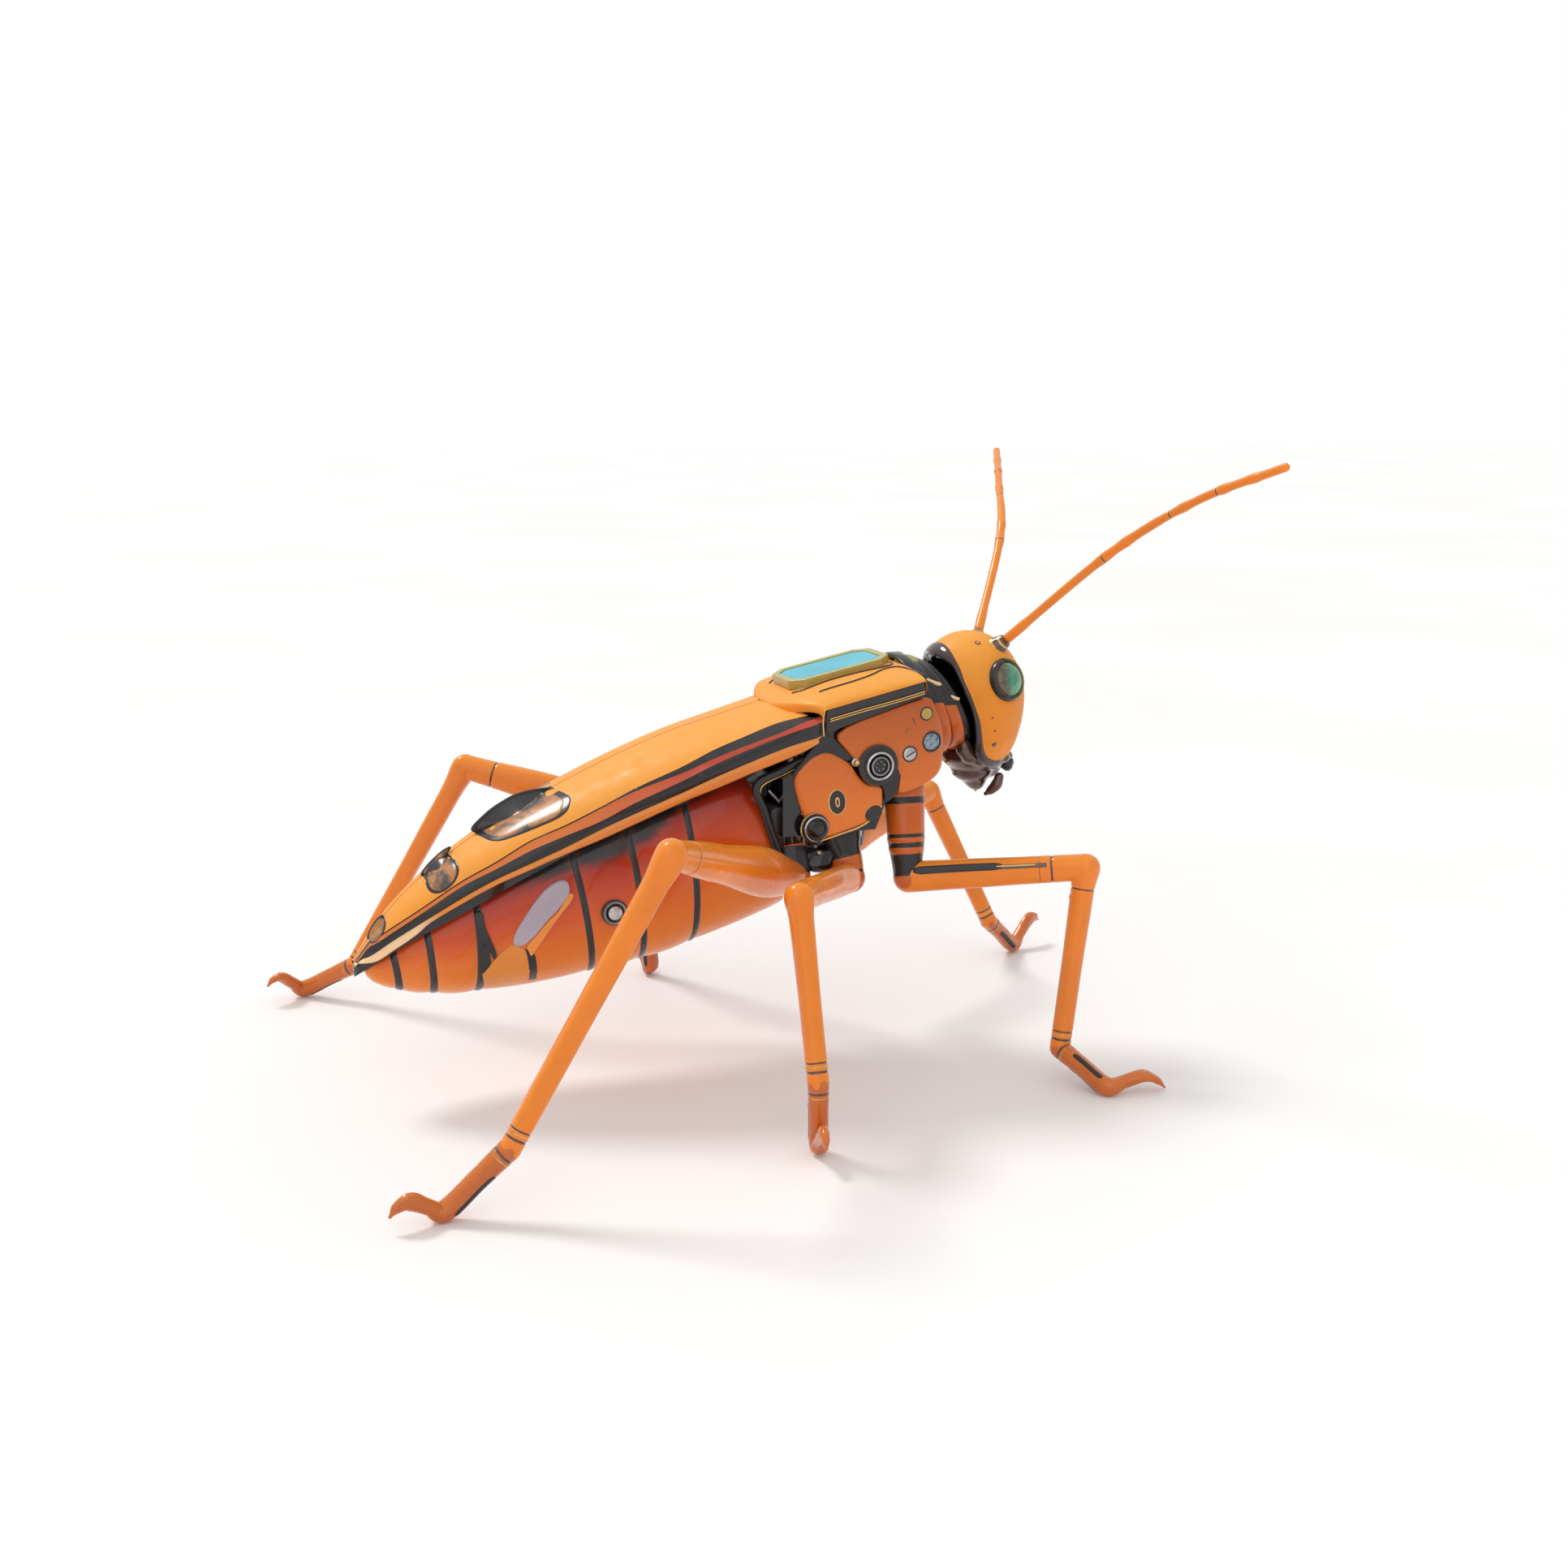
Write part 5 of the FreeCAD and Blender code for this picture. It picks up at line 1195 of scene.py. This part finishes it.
# Small rods on the neck: name, line, half width, material and body; the two cream rods are painted highlights on
# the charcoal rings.
NECK_PATCHES = [
    ("olive_tab", [(63.4, -2.6, 115.3), (65.4, -4.4, 115.2), (67.0, -5.6, 114.6)], 1.7, "sage",
     "thorax"),
    ("neck_highlight_upper", [(68.0, -13.2, 110.2), (69.8, -13.6, 109.4), (71.4, -13.8, 108.9)], 0.5, "cream",
     "thorax"),
    ("neck_highlight_lower", [(75.0, -14.6, 105.2), (75.8, -14.9, 104.8), (76.8, -15.0, 104.5)], 0.4, "cream",
     "neck_collar"),
]


def neck_rings():
    """Nested neck rings, the outer two on the thorax and the inner two on the collar, with a dark
    core and small patches; the two cream patches are painted highlights on the rings."""
    count, rim = 90, 16
    for k, (x, lean, wide, high, long, thick, split, body, replaced) in enumerate(NECK_RINGS):
        points, marks = [], []
        for i in range(count):
            angle = 2 * math.pi * i / count
            y, z = math.cos(angle), math.sin(angle)
            for j in range(rim):
                turn = 2 * math.pi * j / rim
                out = thick * math.copysign(abs(math.cos(turn)) ** 0.7, math.cos(turn))
                level = NECK.z + (high + out) * z
                along = long * math.copysign(abs(math.sin(turn)) ** 0.7, math.sin(turn))
                points.append((x + along - lean * (level - NECK.z), (wide + out) * y, level))
                marks.append(1 if NECK.z + high * z < split else 0)
        faces = band_faces(count, rim, closed_rows=True, closed_columns=True)
        piece(f"neck_ring_{k + 1}", points, faces, body, ["charcoal", "burnt"], marks=marks,
              replaces=replaced)
    core = Rod([(60, 0, 101), (78, 0, 100)], [(11.0, 11.5), (9.5, 10.0)], (0, 0, 1))
    core.build("neck_core", "thorax", "black")
    for side, hand in SIDES.items():
        for word, line, wide, material, body in NECK_PATCHES:
            rod = Rod(line, [(wide, 0.6)] * len(line), (0, -0.8, 0.6), sharp=2.6)
            rod.build(f"{word}_{side}", body, material, side=hand)


def face(side):
    """The eye, small dots, a ringed mark and the antenna socket."""
    out = Vector((0.336, -0.892, 0.302)).normalized()
    eye = head_ray(HEAD, Vector((93.0, -14.6, 109.3)) - HEAD) - out * 0.9
    dome = [(5.15 * math.cos(a), 0.9 + 2.5 * math.sin(a), 0)
            for a in (math.radians(9 * k) for k in range(10))]
    rows = [
        ("eye_rim", eye, out,
         [(5.2, -2.2, 0), (6.3, -2.0, 0), (6.45, 0.6, 0), (6.2, 1.5, 0), (5.75, 1.95, 0),
          (5.4, 1.9, 1), (5.2, 1.6, 1), (5.1, 0.8, 1)], ["charcoal", "gold"],
         dict(count=56, slot="charcoal", replaces=["eye_rims"])),
        ("eye_lens", eye, out, [(5.15, -1.0, 0)] + dome + [(0.05, 3.4, 0)], ["eye"],
         dict(count=56, slot="eye_green", replaces=["eye_lenses"])),
    ]
    for k, (x, z, radius) in enumerate([(87.3, 98.6, 0.3), (88.5, 94.5, 0.32), (89.1, 90.0, 0.85)]):
        spot = Vector((x, head_skin(x, z), z))
        profile = [(radius, -0.5, 0), (radius, 0.1, 0), (radius * 0.6, 0.2, 0), (0.1, 0.2, 0)]
        rows.append((f"head_dot_{k + 1}", spot, spot - HEAD, profile, ["brown"], dict(count=16)))
    spot = head_ray(HEAD, (-0.05, -0.42, 0.9))
    rows.append(("head_mark", spot, spot - HEAD,
                 [(0.9, -0.5, 0), (0.9, 0.05, 0), (0.6, 0.12, 0), (0.5, 0.02, 1), (0.1, 0.0, 1)],
                 ["brown", "amber"], dict(count=20)))
    axis = Vector((0.47, -0.60, 0.645))
    rows.append(("antenna_socket", right_joint_at(f"antenna_lift_{side}") - axis * 5.0, axis,
                 [(3.6, -0.8, 0), (3.3, 0.4, 1), (2.9, 0.9, 0), (2.6, 2.0, 0), (2.3, 2.4, 1),
                  (2.2, 3.0, 0), (1.9, 3.6, 0), (0.4, 3.9, 0)], ["brown", "gold"], {}))
    turned(side, "head", rows)


def blob(name, lumps, body, material, **options):
    """Egg-shaped lumps melted together: each is centre, half axes."""
    points, faces = [], []
    around, along = 20, 10
    voxel = 0.5
    for (cx, cy, cz), (rx, ry, rz) in lumps:
        first = len(points)
        for i in range(along + 1):
            polar = math.pi * mix(0.03, 0.97, i / along)
            for j in range(around):
                turn = 2 * math.pi * j / around
                points.append((cx + rx * math.sin(polar) * math.cos(turn),
                               cy + ry * math.sin(polar) * math.sin(turn),
                               cz + rz * math.cos(polar)))
        faces += [tuple(first + k for k in face) for face in tube_faces(along + 1, around)]
    thing = piece(name, points, faces, body, material, **options)
    remesh = thing.modifiers.new("melt", "REMESH")
    remesh.mode = "VOXEL"
    remesh.voxel_size = voxel * MM
    remesh.use_smooth_shade = True
    relax = thing.modifiers.new("relax", "SMOOTH")
    relax.factor = 0.5
    relax.iterations = 22
    return thing


JAW_SIDE = [((81.8, 9.4, 88.6), (2.6, 2.6, 3.2)), ((83.6, 9.6, 86.2), (2.8, 2.6, 2.6)),
            ((87.0, 9.6, 84.8), (3.4, 2.6, 2.2)), ((91.4, 8.8, 84.4), (3.4, 2.6, 2.0)),
            ((95.6, 6.6, 84.4), (3.0, 2.8, 1.9)), ((98.6, 3.2, 84.2), (2.6, 3.0, 1.9))]
JAW_MIDDLE = [((90.0, 0, 83.0), (9.6, 8.4, 3.4)), ((89.2, 0, 80.0), (6.6, 6.0, 3.8)),
              ((83.6, 0, 84.6), (4.6, 7.4, 2.8)), ((90.2, 0, 77.4), (3.8, 4.0, 3.4)),
              ((94.4, 0, 79.4), (3.8, 3.4, 2.4)), ((90.6, 0, 75.6), (2.7, 3.0, 2.2)),
              ((96.6, 0, 81.6), (3.0, 3.4, 2.2))]
MOUTH_KNOB = [("mouth_knob", (99.0, -3.6, 81.8), (0.75, -0.6, -0.25),
               [(1.4, -2, 0), (2.1, -0.4, 0), (2.25, 0.6, 0), (1.9, 1.5, 0), (1.2, 1.9, 0),
                (1.0, 1.7, 1), (0.2, 2.0, 1)], ["charcoal", "black"], {})]
# The mandible's line, from its joint, and how thick it is at each point.
HOOK = [((-0.6, 0, 3.4), 1.4), ((-1.4, 0, 1.2), 1.7), ((-2.8, 0.8, -0.6), 1.4),
        ((-4.2, 1.6, -1.8), 0.6)]


def mouth():
    """A lacquered jaw: a collar under the helmet, a nub below and a knob on each side in front."""
    lumps = [((x, y * side, z), size) for (x, y, z), size in JAW_SIDE for side in (1, -1)]
    blob("mouth_jaw", lumps + JAW_MIDDLE, "head", "brown", replaces=["mouth_block"],
         slot="brown_metal")
    for side, hand in SIDES.items():
        turned(side, "head", MOUTH_KNOB)
        jaw = right_joint_at(f"mandible_open_{side}")
        hook = Rod([jaw + Vector(step) for step, _ in HOOK], [thick for _, thick in HOOK],
                   (1, 0, 0))
        hook.build(f"mandible_hook_{side}", f"mandible_{side}", "brown", side=hand,
                   replaces=[f"mandible_{side}"], slot="brown_metal")


ANTENNA = [(95.4, -9.9, 121.0), (114.4, -34.3, 147.2), (125.7, -58.4, 162.5), (136.5, -81.8, 172.0)]


def antenna(side):
    """A thin feeler with knots, a dark groove beside three of them and a rounded tip."""
    points = [Vector(p) for p in ANTENNA]
    knots = [0.30, 0.37, 0.62, 0.78, 0.9]
    line, sizes = [], []
    count = 26
    for k in range(count + 1):
        share = k / count
        line.append(catmull(points, 3 * share))
        near = min(abs(share - knot) for knot in knots)
        sizes.append(1.28 + 0.22 * (near < 0.02) - 0.12 * (share > 0.5) + 0.2 * (share < 0.04))
    total = sum((b - a).length for a, b in zip(line, line[1:]))
    bands = [(total * knot - 0.25, total * knot + 0.25, 1, 0.1) for knot in (0.38, 0.63, 0.79)]
    rod = Rod(line, sizes, (0, 0, 1), bands=bands, step=1.0)
    rod.SIDES_ROUND = 18
    rod.build(f"feeler_{side}", f"antenna_{side}", ["orange", "brown"], side=SIDES[side],
              replaces=[f"antenna_{side}"], slot="orange_gloss")


# --- legs -----------------------------------------------------------------------------------------

CLAW_TIPS = {"front_right": (116.2, -70.7, 0.9), "front_left": (150.1, 67.4, 7.9),
             "middle_right": (6.6, -90.6, 7.0), "middle_left": (6.6, 90.6, 7.0),
             "hind_right": (-99.9, -84.9, 4.1), "hind_left": (-113.2, 90.2, 6.5)}
SOLE_HIGH = 2.7
FEMUR = {"front": (4.5, 4.3, 3.7), "middle": (4.3, 4.4, 3.8), "hind": (4.6, 6.7, 3.7)}
KNEE_R, TIBIA_R, ANKLE_R = 3.75, 2.75, 2.7


def sole_of(leg):
    mounts = frame["record"]["mounts"]
    place = next(m["pos_m"] for m in mounts if m["name"] == f"sole_{leg}")
    return (Vector(place) - DATUM) / MM + Vector((0, 0, SOLE_HIGH))


def leg_points(leg):
    hip, knee, ankle = (joint_at(f"{word}_{leg}") for word in ("femur_lift", "knee", "ankle"))
    return hip, knee, ankle, sole_of(leg), Vector(CLAW_TIPS[leg])


# Each hip link: where it leaves the thorax on the left, its sizes at the top, middle and hip, and
# the charcoal bands as shares of its length.
COXA = {
    "front": ((59.2, 17.0, 79.6), [(4.8, 6.2), (5.0, 5.6), (4.2, 4.2)],
              [(0.08, 0.16), (0.50, 0.545), (0.60, 0.66), (0.73, 0.98)]),
    "middle": ((39.0, 17.0, 68.4), [(5.6, 6.6), (4.9, 5.0), (4.4, 4.4)],
               [(0.04, 0.55), (0.86, 0.93)]),
    "hind": ((24.6, 16.6, 66.0), [(4.8, 5.0), (4.7, 4.9), (4.6, 4.6)], [(0.1, 0.9)]),
}


def coxa(leg):
    hip = leg_points(leg)[0]
    (x, y, z), sizes, shares = COXA[leg.split("_")[0]]
    top = Vector((x, math.copysign(y, hip.y), z))
    line = [top, top.lerp(hip, 0.5), hip]
    long = Rod(line, sizes, (1, 0, 0)).long
    bands = [(long * first, long * last, 1, 0.1) for first, last in shares]
    rod = Rod(line, sizes, (1, 0, 0), bands=bands)
    rod.build(f"hip_link_{leg}", f"coxa_{leg}", ["burnt", "charcoal"],
              replaces=[f"coxa_{leg}"], slot="deep_orange")


# Strips on a thigh: name, start in millimetres and as a share of its length, end as a share, turn
# from its outer side, material and inlay options.
RIDGE = [("ridge", 0, 0.12, 0.78, (-0.62, -0.42), "amber", dict(lift=0.08))]
THIGH_STRIPS = {
    "front": [("inlay", 1.5, 0, 0.56, (-0.95, -0.2), "charcoal", {}),
              ("slot", 0, 0.52, 0.80, (-0.72, -0.28), "brown", dict(lift=0.12, ends=0)),
              ("gold", 0, 0.50, 0.74, (-0.62, -0.48), "gold", dict(lift=0.22))],
    "middle": RIDGE,
    "hind": RIDGE,
}


def outer_side(leg):
    """The turn of a leg's outer side, as Rod.skin counts it."""
    return math.pi / 2 * (1 if leg.endswith("right") else -1)


def femur(leg):
    kind = leg.split("_")[0]
    hip, knee = leg_points(leg)[:2]
    near, thick, far = FEMUR[kind]
    late = mix(thick, far, 0.6)
    line = [hip, hip.lerp(knee, 0.3), hip.lerp(knee, 0.68), knee]
    sizes = [(near * 0.86, near), (thick * 0.72, thick), (late * 0.82, late), (KNEE_R, KNEE_R)]
    long = (knee - hip).length
    ring = long - KNEE_R * 2.6
    bands = [(ring, ring + 0.7, 1, 0.12)]
    if kind == "front":
        bands.append((ring - 3.2, ring - 2.9, 1, 0.08))
    rod = Rod(line, sizes, (0, 0, 1), bands=bands, sharp=2.25)
    rod.build(f"thigh_{leg}", f"femur_{leg}", ["orange", "brown"], replaces=[f"femur_{leg}"],
              slot="orange_gloss")
    outer = outer_side(leg)
    for word, start, first, last, turn, material, options in THIGH_STRIPS[kind]:
        inlay(f"thigh_{word}_{leg}", rod, (start + long * first, long * last),
              [outer + angle for angle in turn], material, f"femur_{leg}", **options)


def tibia(leg):
    front = leg.startswith("front")
    knee, ankle = leg_points(leg)[1:3]
    long = (ankle - knee).length
    line = [knee, knee.lerp(ankle, 0.16), knee.lerp(ankle, 0.6), ankle]
    sizes = [KNEE_R * 1.02, 3.05, TIBIA_R, ANKLE_R]
    bands = [(long - 5.6, long - 5.0, 1, 0.1), (long - 4.5, long - 4.1, 2, 0.02),
             (long - 3.4, long - 2.6, 1, 0.1)]
    if front:
        bands.append((KNEE_R * 1.55, KNEE_R * 1.55 + 0.6, 1, 0.12))
    up = (ankle - knee).cross(Vector((0, 0, 1))).cross(ankle - knee)
    rod = Rod(line, sizes, up, bands=bands, sharp=2.5)
    rod.build(f"shin_{leg}", f"tibia_{leg}", ["orange", "brown", "gold"],
              replaces=[f"tibia_{leg}"], slot="orange_gloss")
    if front:
        hole_at = 9.0
        spot = rod.skin(hole_at, outer_side(leg) * 0.6)
        lathe(f"shin_hole_{leg}", spot, spot - rod.section(hole_at)[0],
              [(0.7, -0.6, 0), (0.7, 0.08, 0), (0.2, 0.05, 0)], ["brown"], f"tibia_{leg}", count=16)


def foot(leg):
    ankle, sole, tip = leg_points(leg)[2:]
    step = tip - sole
    drop = ankle.lerp(sole, 0.5)
    line = [ankle, drop, sole + Vector((0, 0, 0.1)), sole + step * 0.3 + Vector((0, 0, 1.5)),
            sole + step * 0.62 + Vector((0, 0, 3.3)), sole + step * 0.85 + Vector((0, 0, 2.2)), tip]
    sizes = [ANKLE_R * 1.02, 2.5, (2.6, 2.5), (1.8, 1.9), (1.5, 2.5), (1.1, 1.7), (0.35, 0.4)]
    up = (sole - ankle).cross(step).cross(sole - ankle) * -1
    if up.length < 1e-6:
        up = Vector((0, 0, 1))
    long_drop = (sole - ankle).length
    bands = [(1.6, 2.4, 1, 0.08), (3.0, 3.4, 2, 0.0)]
    rod = Rod(line, sizes, up, bands=bands, sharp=2.3)
    rod.build(f"paw_{leg}", f"foot_{leg}", ["paw", "brown", "gold"], replaces=[f"foot_{leg}"],
              slot="orange_gloss")
    for k, angle in enumerate((-1.2, 1.2)):
        inlay(f"paw_inlay_{k + 1}_{leg}", rod, (long_drop * 0.3, long_drop * 0.95),
              (angle - 0.42, angle + 0.42), "charcoal", f"foot_{leg}", lift=0.1)


# --- button and carried-over nodes ----------------------------------------------------------------

def button():
    place = joint_at("button_press")
    spot = Vector((place.x, 0, place.z))
    lathe("button_ring", spot, OUT,
          [(2.35, 14.0, 0), (2.35, 18.6, 0), (2.7, 18.9, 1), (3.2, 19.0, 0), (3.6, 18.6, 0),
           (3.7, 17.4, 0), (3.6, 15.0, 0)], ["charcoal", "steel"], "thorax",
          replaces=["button_bezel"], slot="charcoal")
    lathe("button_dome", spot, OUT,
          [(2.15, 14.8, 0), (2.2, 18.7, 0), (1.9, 19.2, 0), (1.2, 19.5, 0), (0.15, 19.6, 0)],
          ["silver"], "power_button", replaces=["power_button"], slot="steel")


CARRIED = {
    "thorax_frame": "black", "solar_bezel": "olive", "solar_panel": "solar",
    "trim_bands": "charcoal", "abdomen_bulkhead": "black", "battery": "wrap",
    "control_board": "board", "drive_motor": "steel", "eccentric_weight": "silver",
}
# Edge rounding of carried-over nodes, in millimetres.
SOFTENED = {"trim_bands": 0.45, "solar_bezel": 0.35, "solar_panel": 0.15, "thorax_frame": 0.6}


def dress_nodes():
    """Materials and softened edges for the CAD nodes that stay in view."""
    for node, word in CARRIED.items():
        thing = frame["nodes"][node]
        thing.data.materials.clear()
        thing.data.materials.append(MATERIALS[word])
        if node in SOFTENED:
            weld = thing.modifiers.new("weld", "WELD")
            weld.merge_threshold = 0.00002
            bevel = thing.modifiers.new("bevel", "BEVEL")
            bevel.width = SOFTENED[node] * MM
            bevel.segments = 3
            bevel.limit_method = "ANGLE"
            bevel.angle_limit = math.radians(38)
            bevel.harden_normals = True


# --- stage, lights and camera ---------------------------------------------------------------------

AMBIENT = 0.72


FLOOR_HALF = 6.0


def stage():
    size = FLOOR_HALF
    mesh = bpy.data.meshes.new("floor")
    mesh.from_pydata([(-size, -size, 0), (size, -size, 0), (size, size, 0), (-size, size, 0)], [],
                     [(0, 1, 2, 3)])
    floor = bpy.data.objects.new("floor", mesh)
    bpy.context.scene.collection.objects.link(floor)
    n = Nodes("floor_paper")
    n.feed(n.shader.inputs["Base Color"], n.ramp(n.noise(3.0), [(0.4, (0.93, 0.915, 0.905)),
                                                                (0.6, (0.95, 0.94, 0.93))]))
    n.shader.inputs["Roughness"].default_value = 0.55
    n.shader.inputs["Specular IOR Level"].default_value = 0.25
    mesh.materials.append(n.material)
    world = bpy.data.worlds.new("studio")
    world.use_nodes = True
    tree = world.node_tree
    tree.nodes["Background"].inputs["Color"].default_value = (1.0, 1.0, 1.0, 1.0)
    tree.nodes["Background"].inputs["Strength"].default_value = AMBIENT
    backdrop = tree.nodes.new("ShaderNodeBackground")
    backdrop.inputs["Color"].default_value = (1.0, 1.0, 1.0, 1.0)
    backdrop.inputs["Strength"].default_value = 1.0
    seen = tree.nodes.new("ShaderNodeLightPath")
    either = tree.nodes.new("ShaderNodeMixShader")
    tree.links.new(seen.outputs["Is Camera Ray"], either.inputs[0])
    tree.links.new(tree.nodes["Background"].outputs[0], either.inputs[1])
    tree.links.new(backdrop.outputs[0], either.inputs[2])
    tree.links.new(either.outputs[0], tree.nodes["World Output"].inputs["Surface"])
    bpy.context.scene.world = world


def sun(name, place, strength, spread):
    """A soft distant lamp, without highlights, shining from place towards the robot."""
    lamp = bpy.data.lights.new(name, "SUN")
    lamp.energy = strength
    lamp.angle = math.radians(spread)
    lamp.specular_factor = 0.0
    thing = bpy.data.objects.new(name, lamp)
    thing.rotation_mode = "QUATERNION"
    thing.rotation_quaternion = Vector(place).to_track_quat("Z", "Y")
    thing.location = Vector(place)
    bpy.context.scene.collection.objects.link(thing)


def lights():
    sun("key_behind", (-0.30, 0.50, 0.81), 1.25, 16)
    sun("soft_front", (-0.35, -0.75, 0.55), 0.45, 60)


CAMERA_AT = (-147.0, -475.6, 189.1)
CAMERA_BACK = Vector((-0.33885, -0.91700, 0.21047))
FOCAL_MM, SENSOR_MM = 40.99, 36


def camera():
    lens = bpy.data.cameras.new("camera")
    lens.lens = FOCAL_MM
    lens.sensor_width = SENSOR_MM
    lens.clip_start, lens.clip_end = 0.01, 20
    eye = bpy.data.objects.new("camera", lens)
    eye.location = at(CAMERA_AT)
    eye.rotation_mode = "QUATERNION"
    eye.rotation_quaternion = CAMERA_BACK.to_track_quat("Z", "Y")
    bpy.context.scene.collection.objects.link(eye)
    bpy.context.scene.camera = eye
    bpy.context.scene.view_settings.view_transform = "Standard"


def build():
    for side in SIDES:
        wing_top(side)
        wing_rail(side)
        wing_inlays(side)
        shoulder(side)
        plates(side, belly_skin, BELLY_DETAILS)
        side_panels(side)
        gap_parts(side)
        roof_lines(side)
        face(side)
        antenna(side)
    abdomen()
    bezel_line()
    roof()
    head()
    neck_rings()
    mouth()
    button()
    for leg in LEGS:
        coxa(leg)
        femur(leg)
        tibia(leg)
        foot(leg)
    dress_nodes()
    stage()
    lights()
    camera()


build()
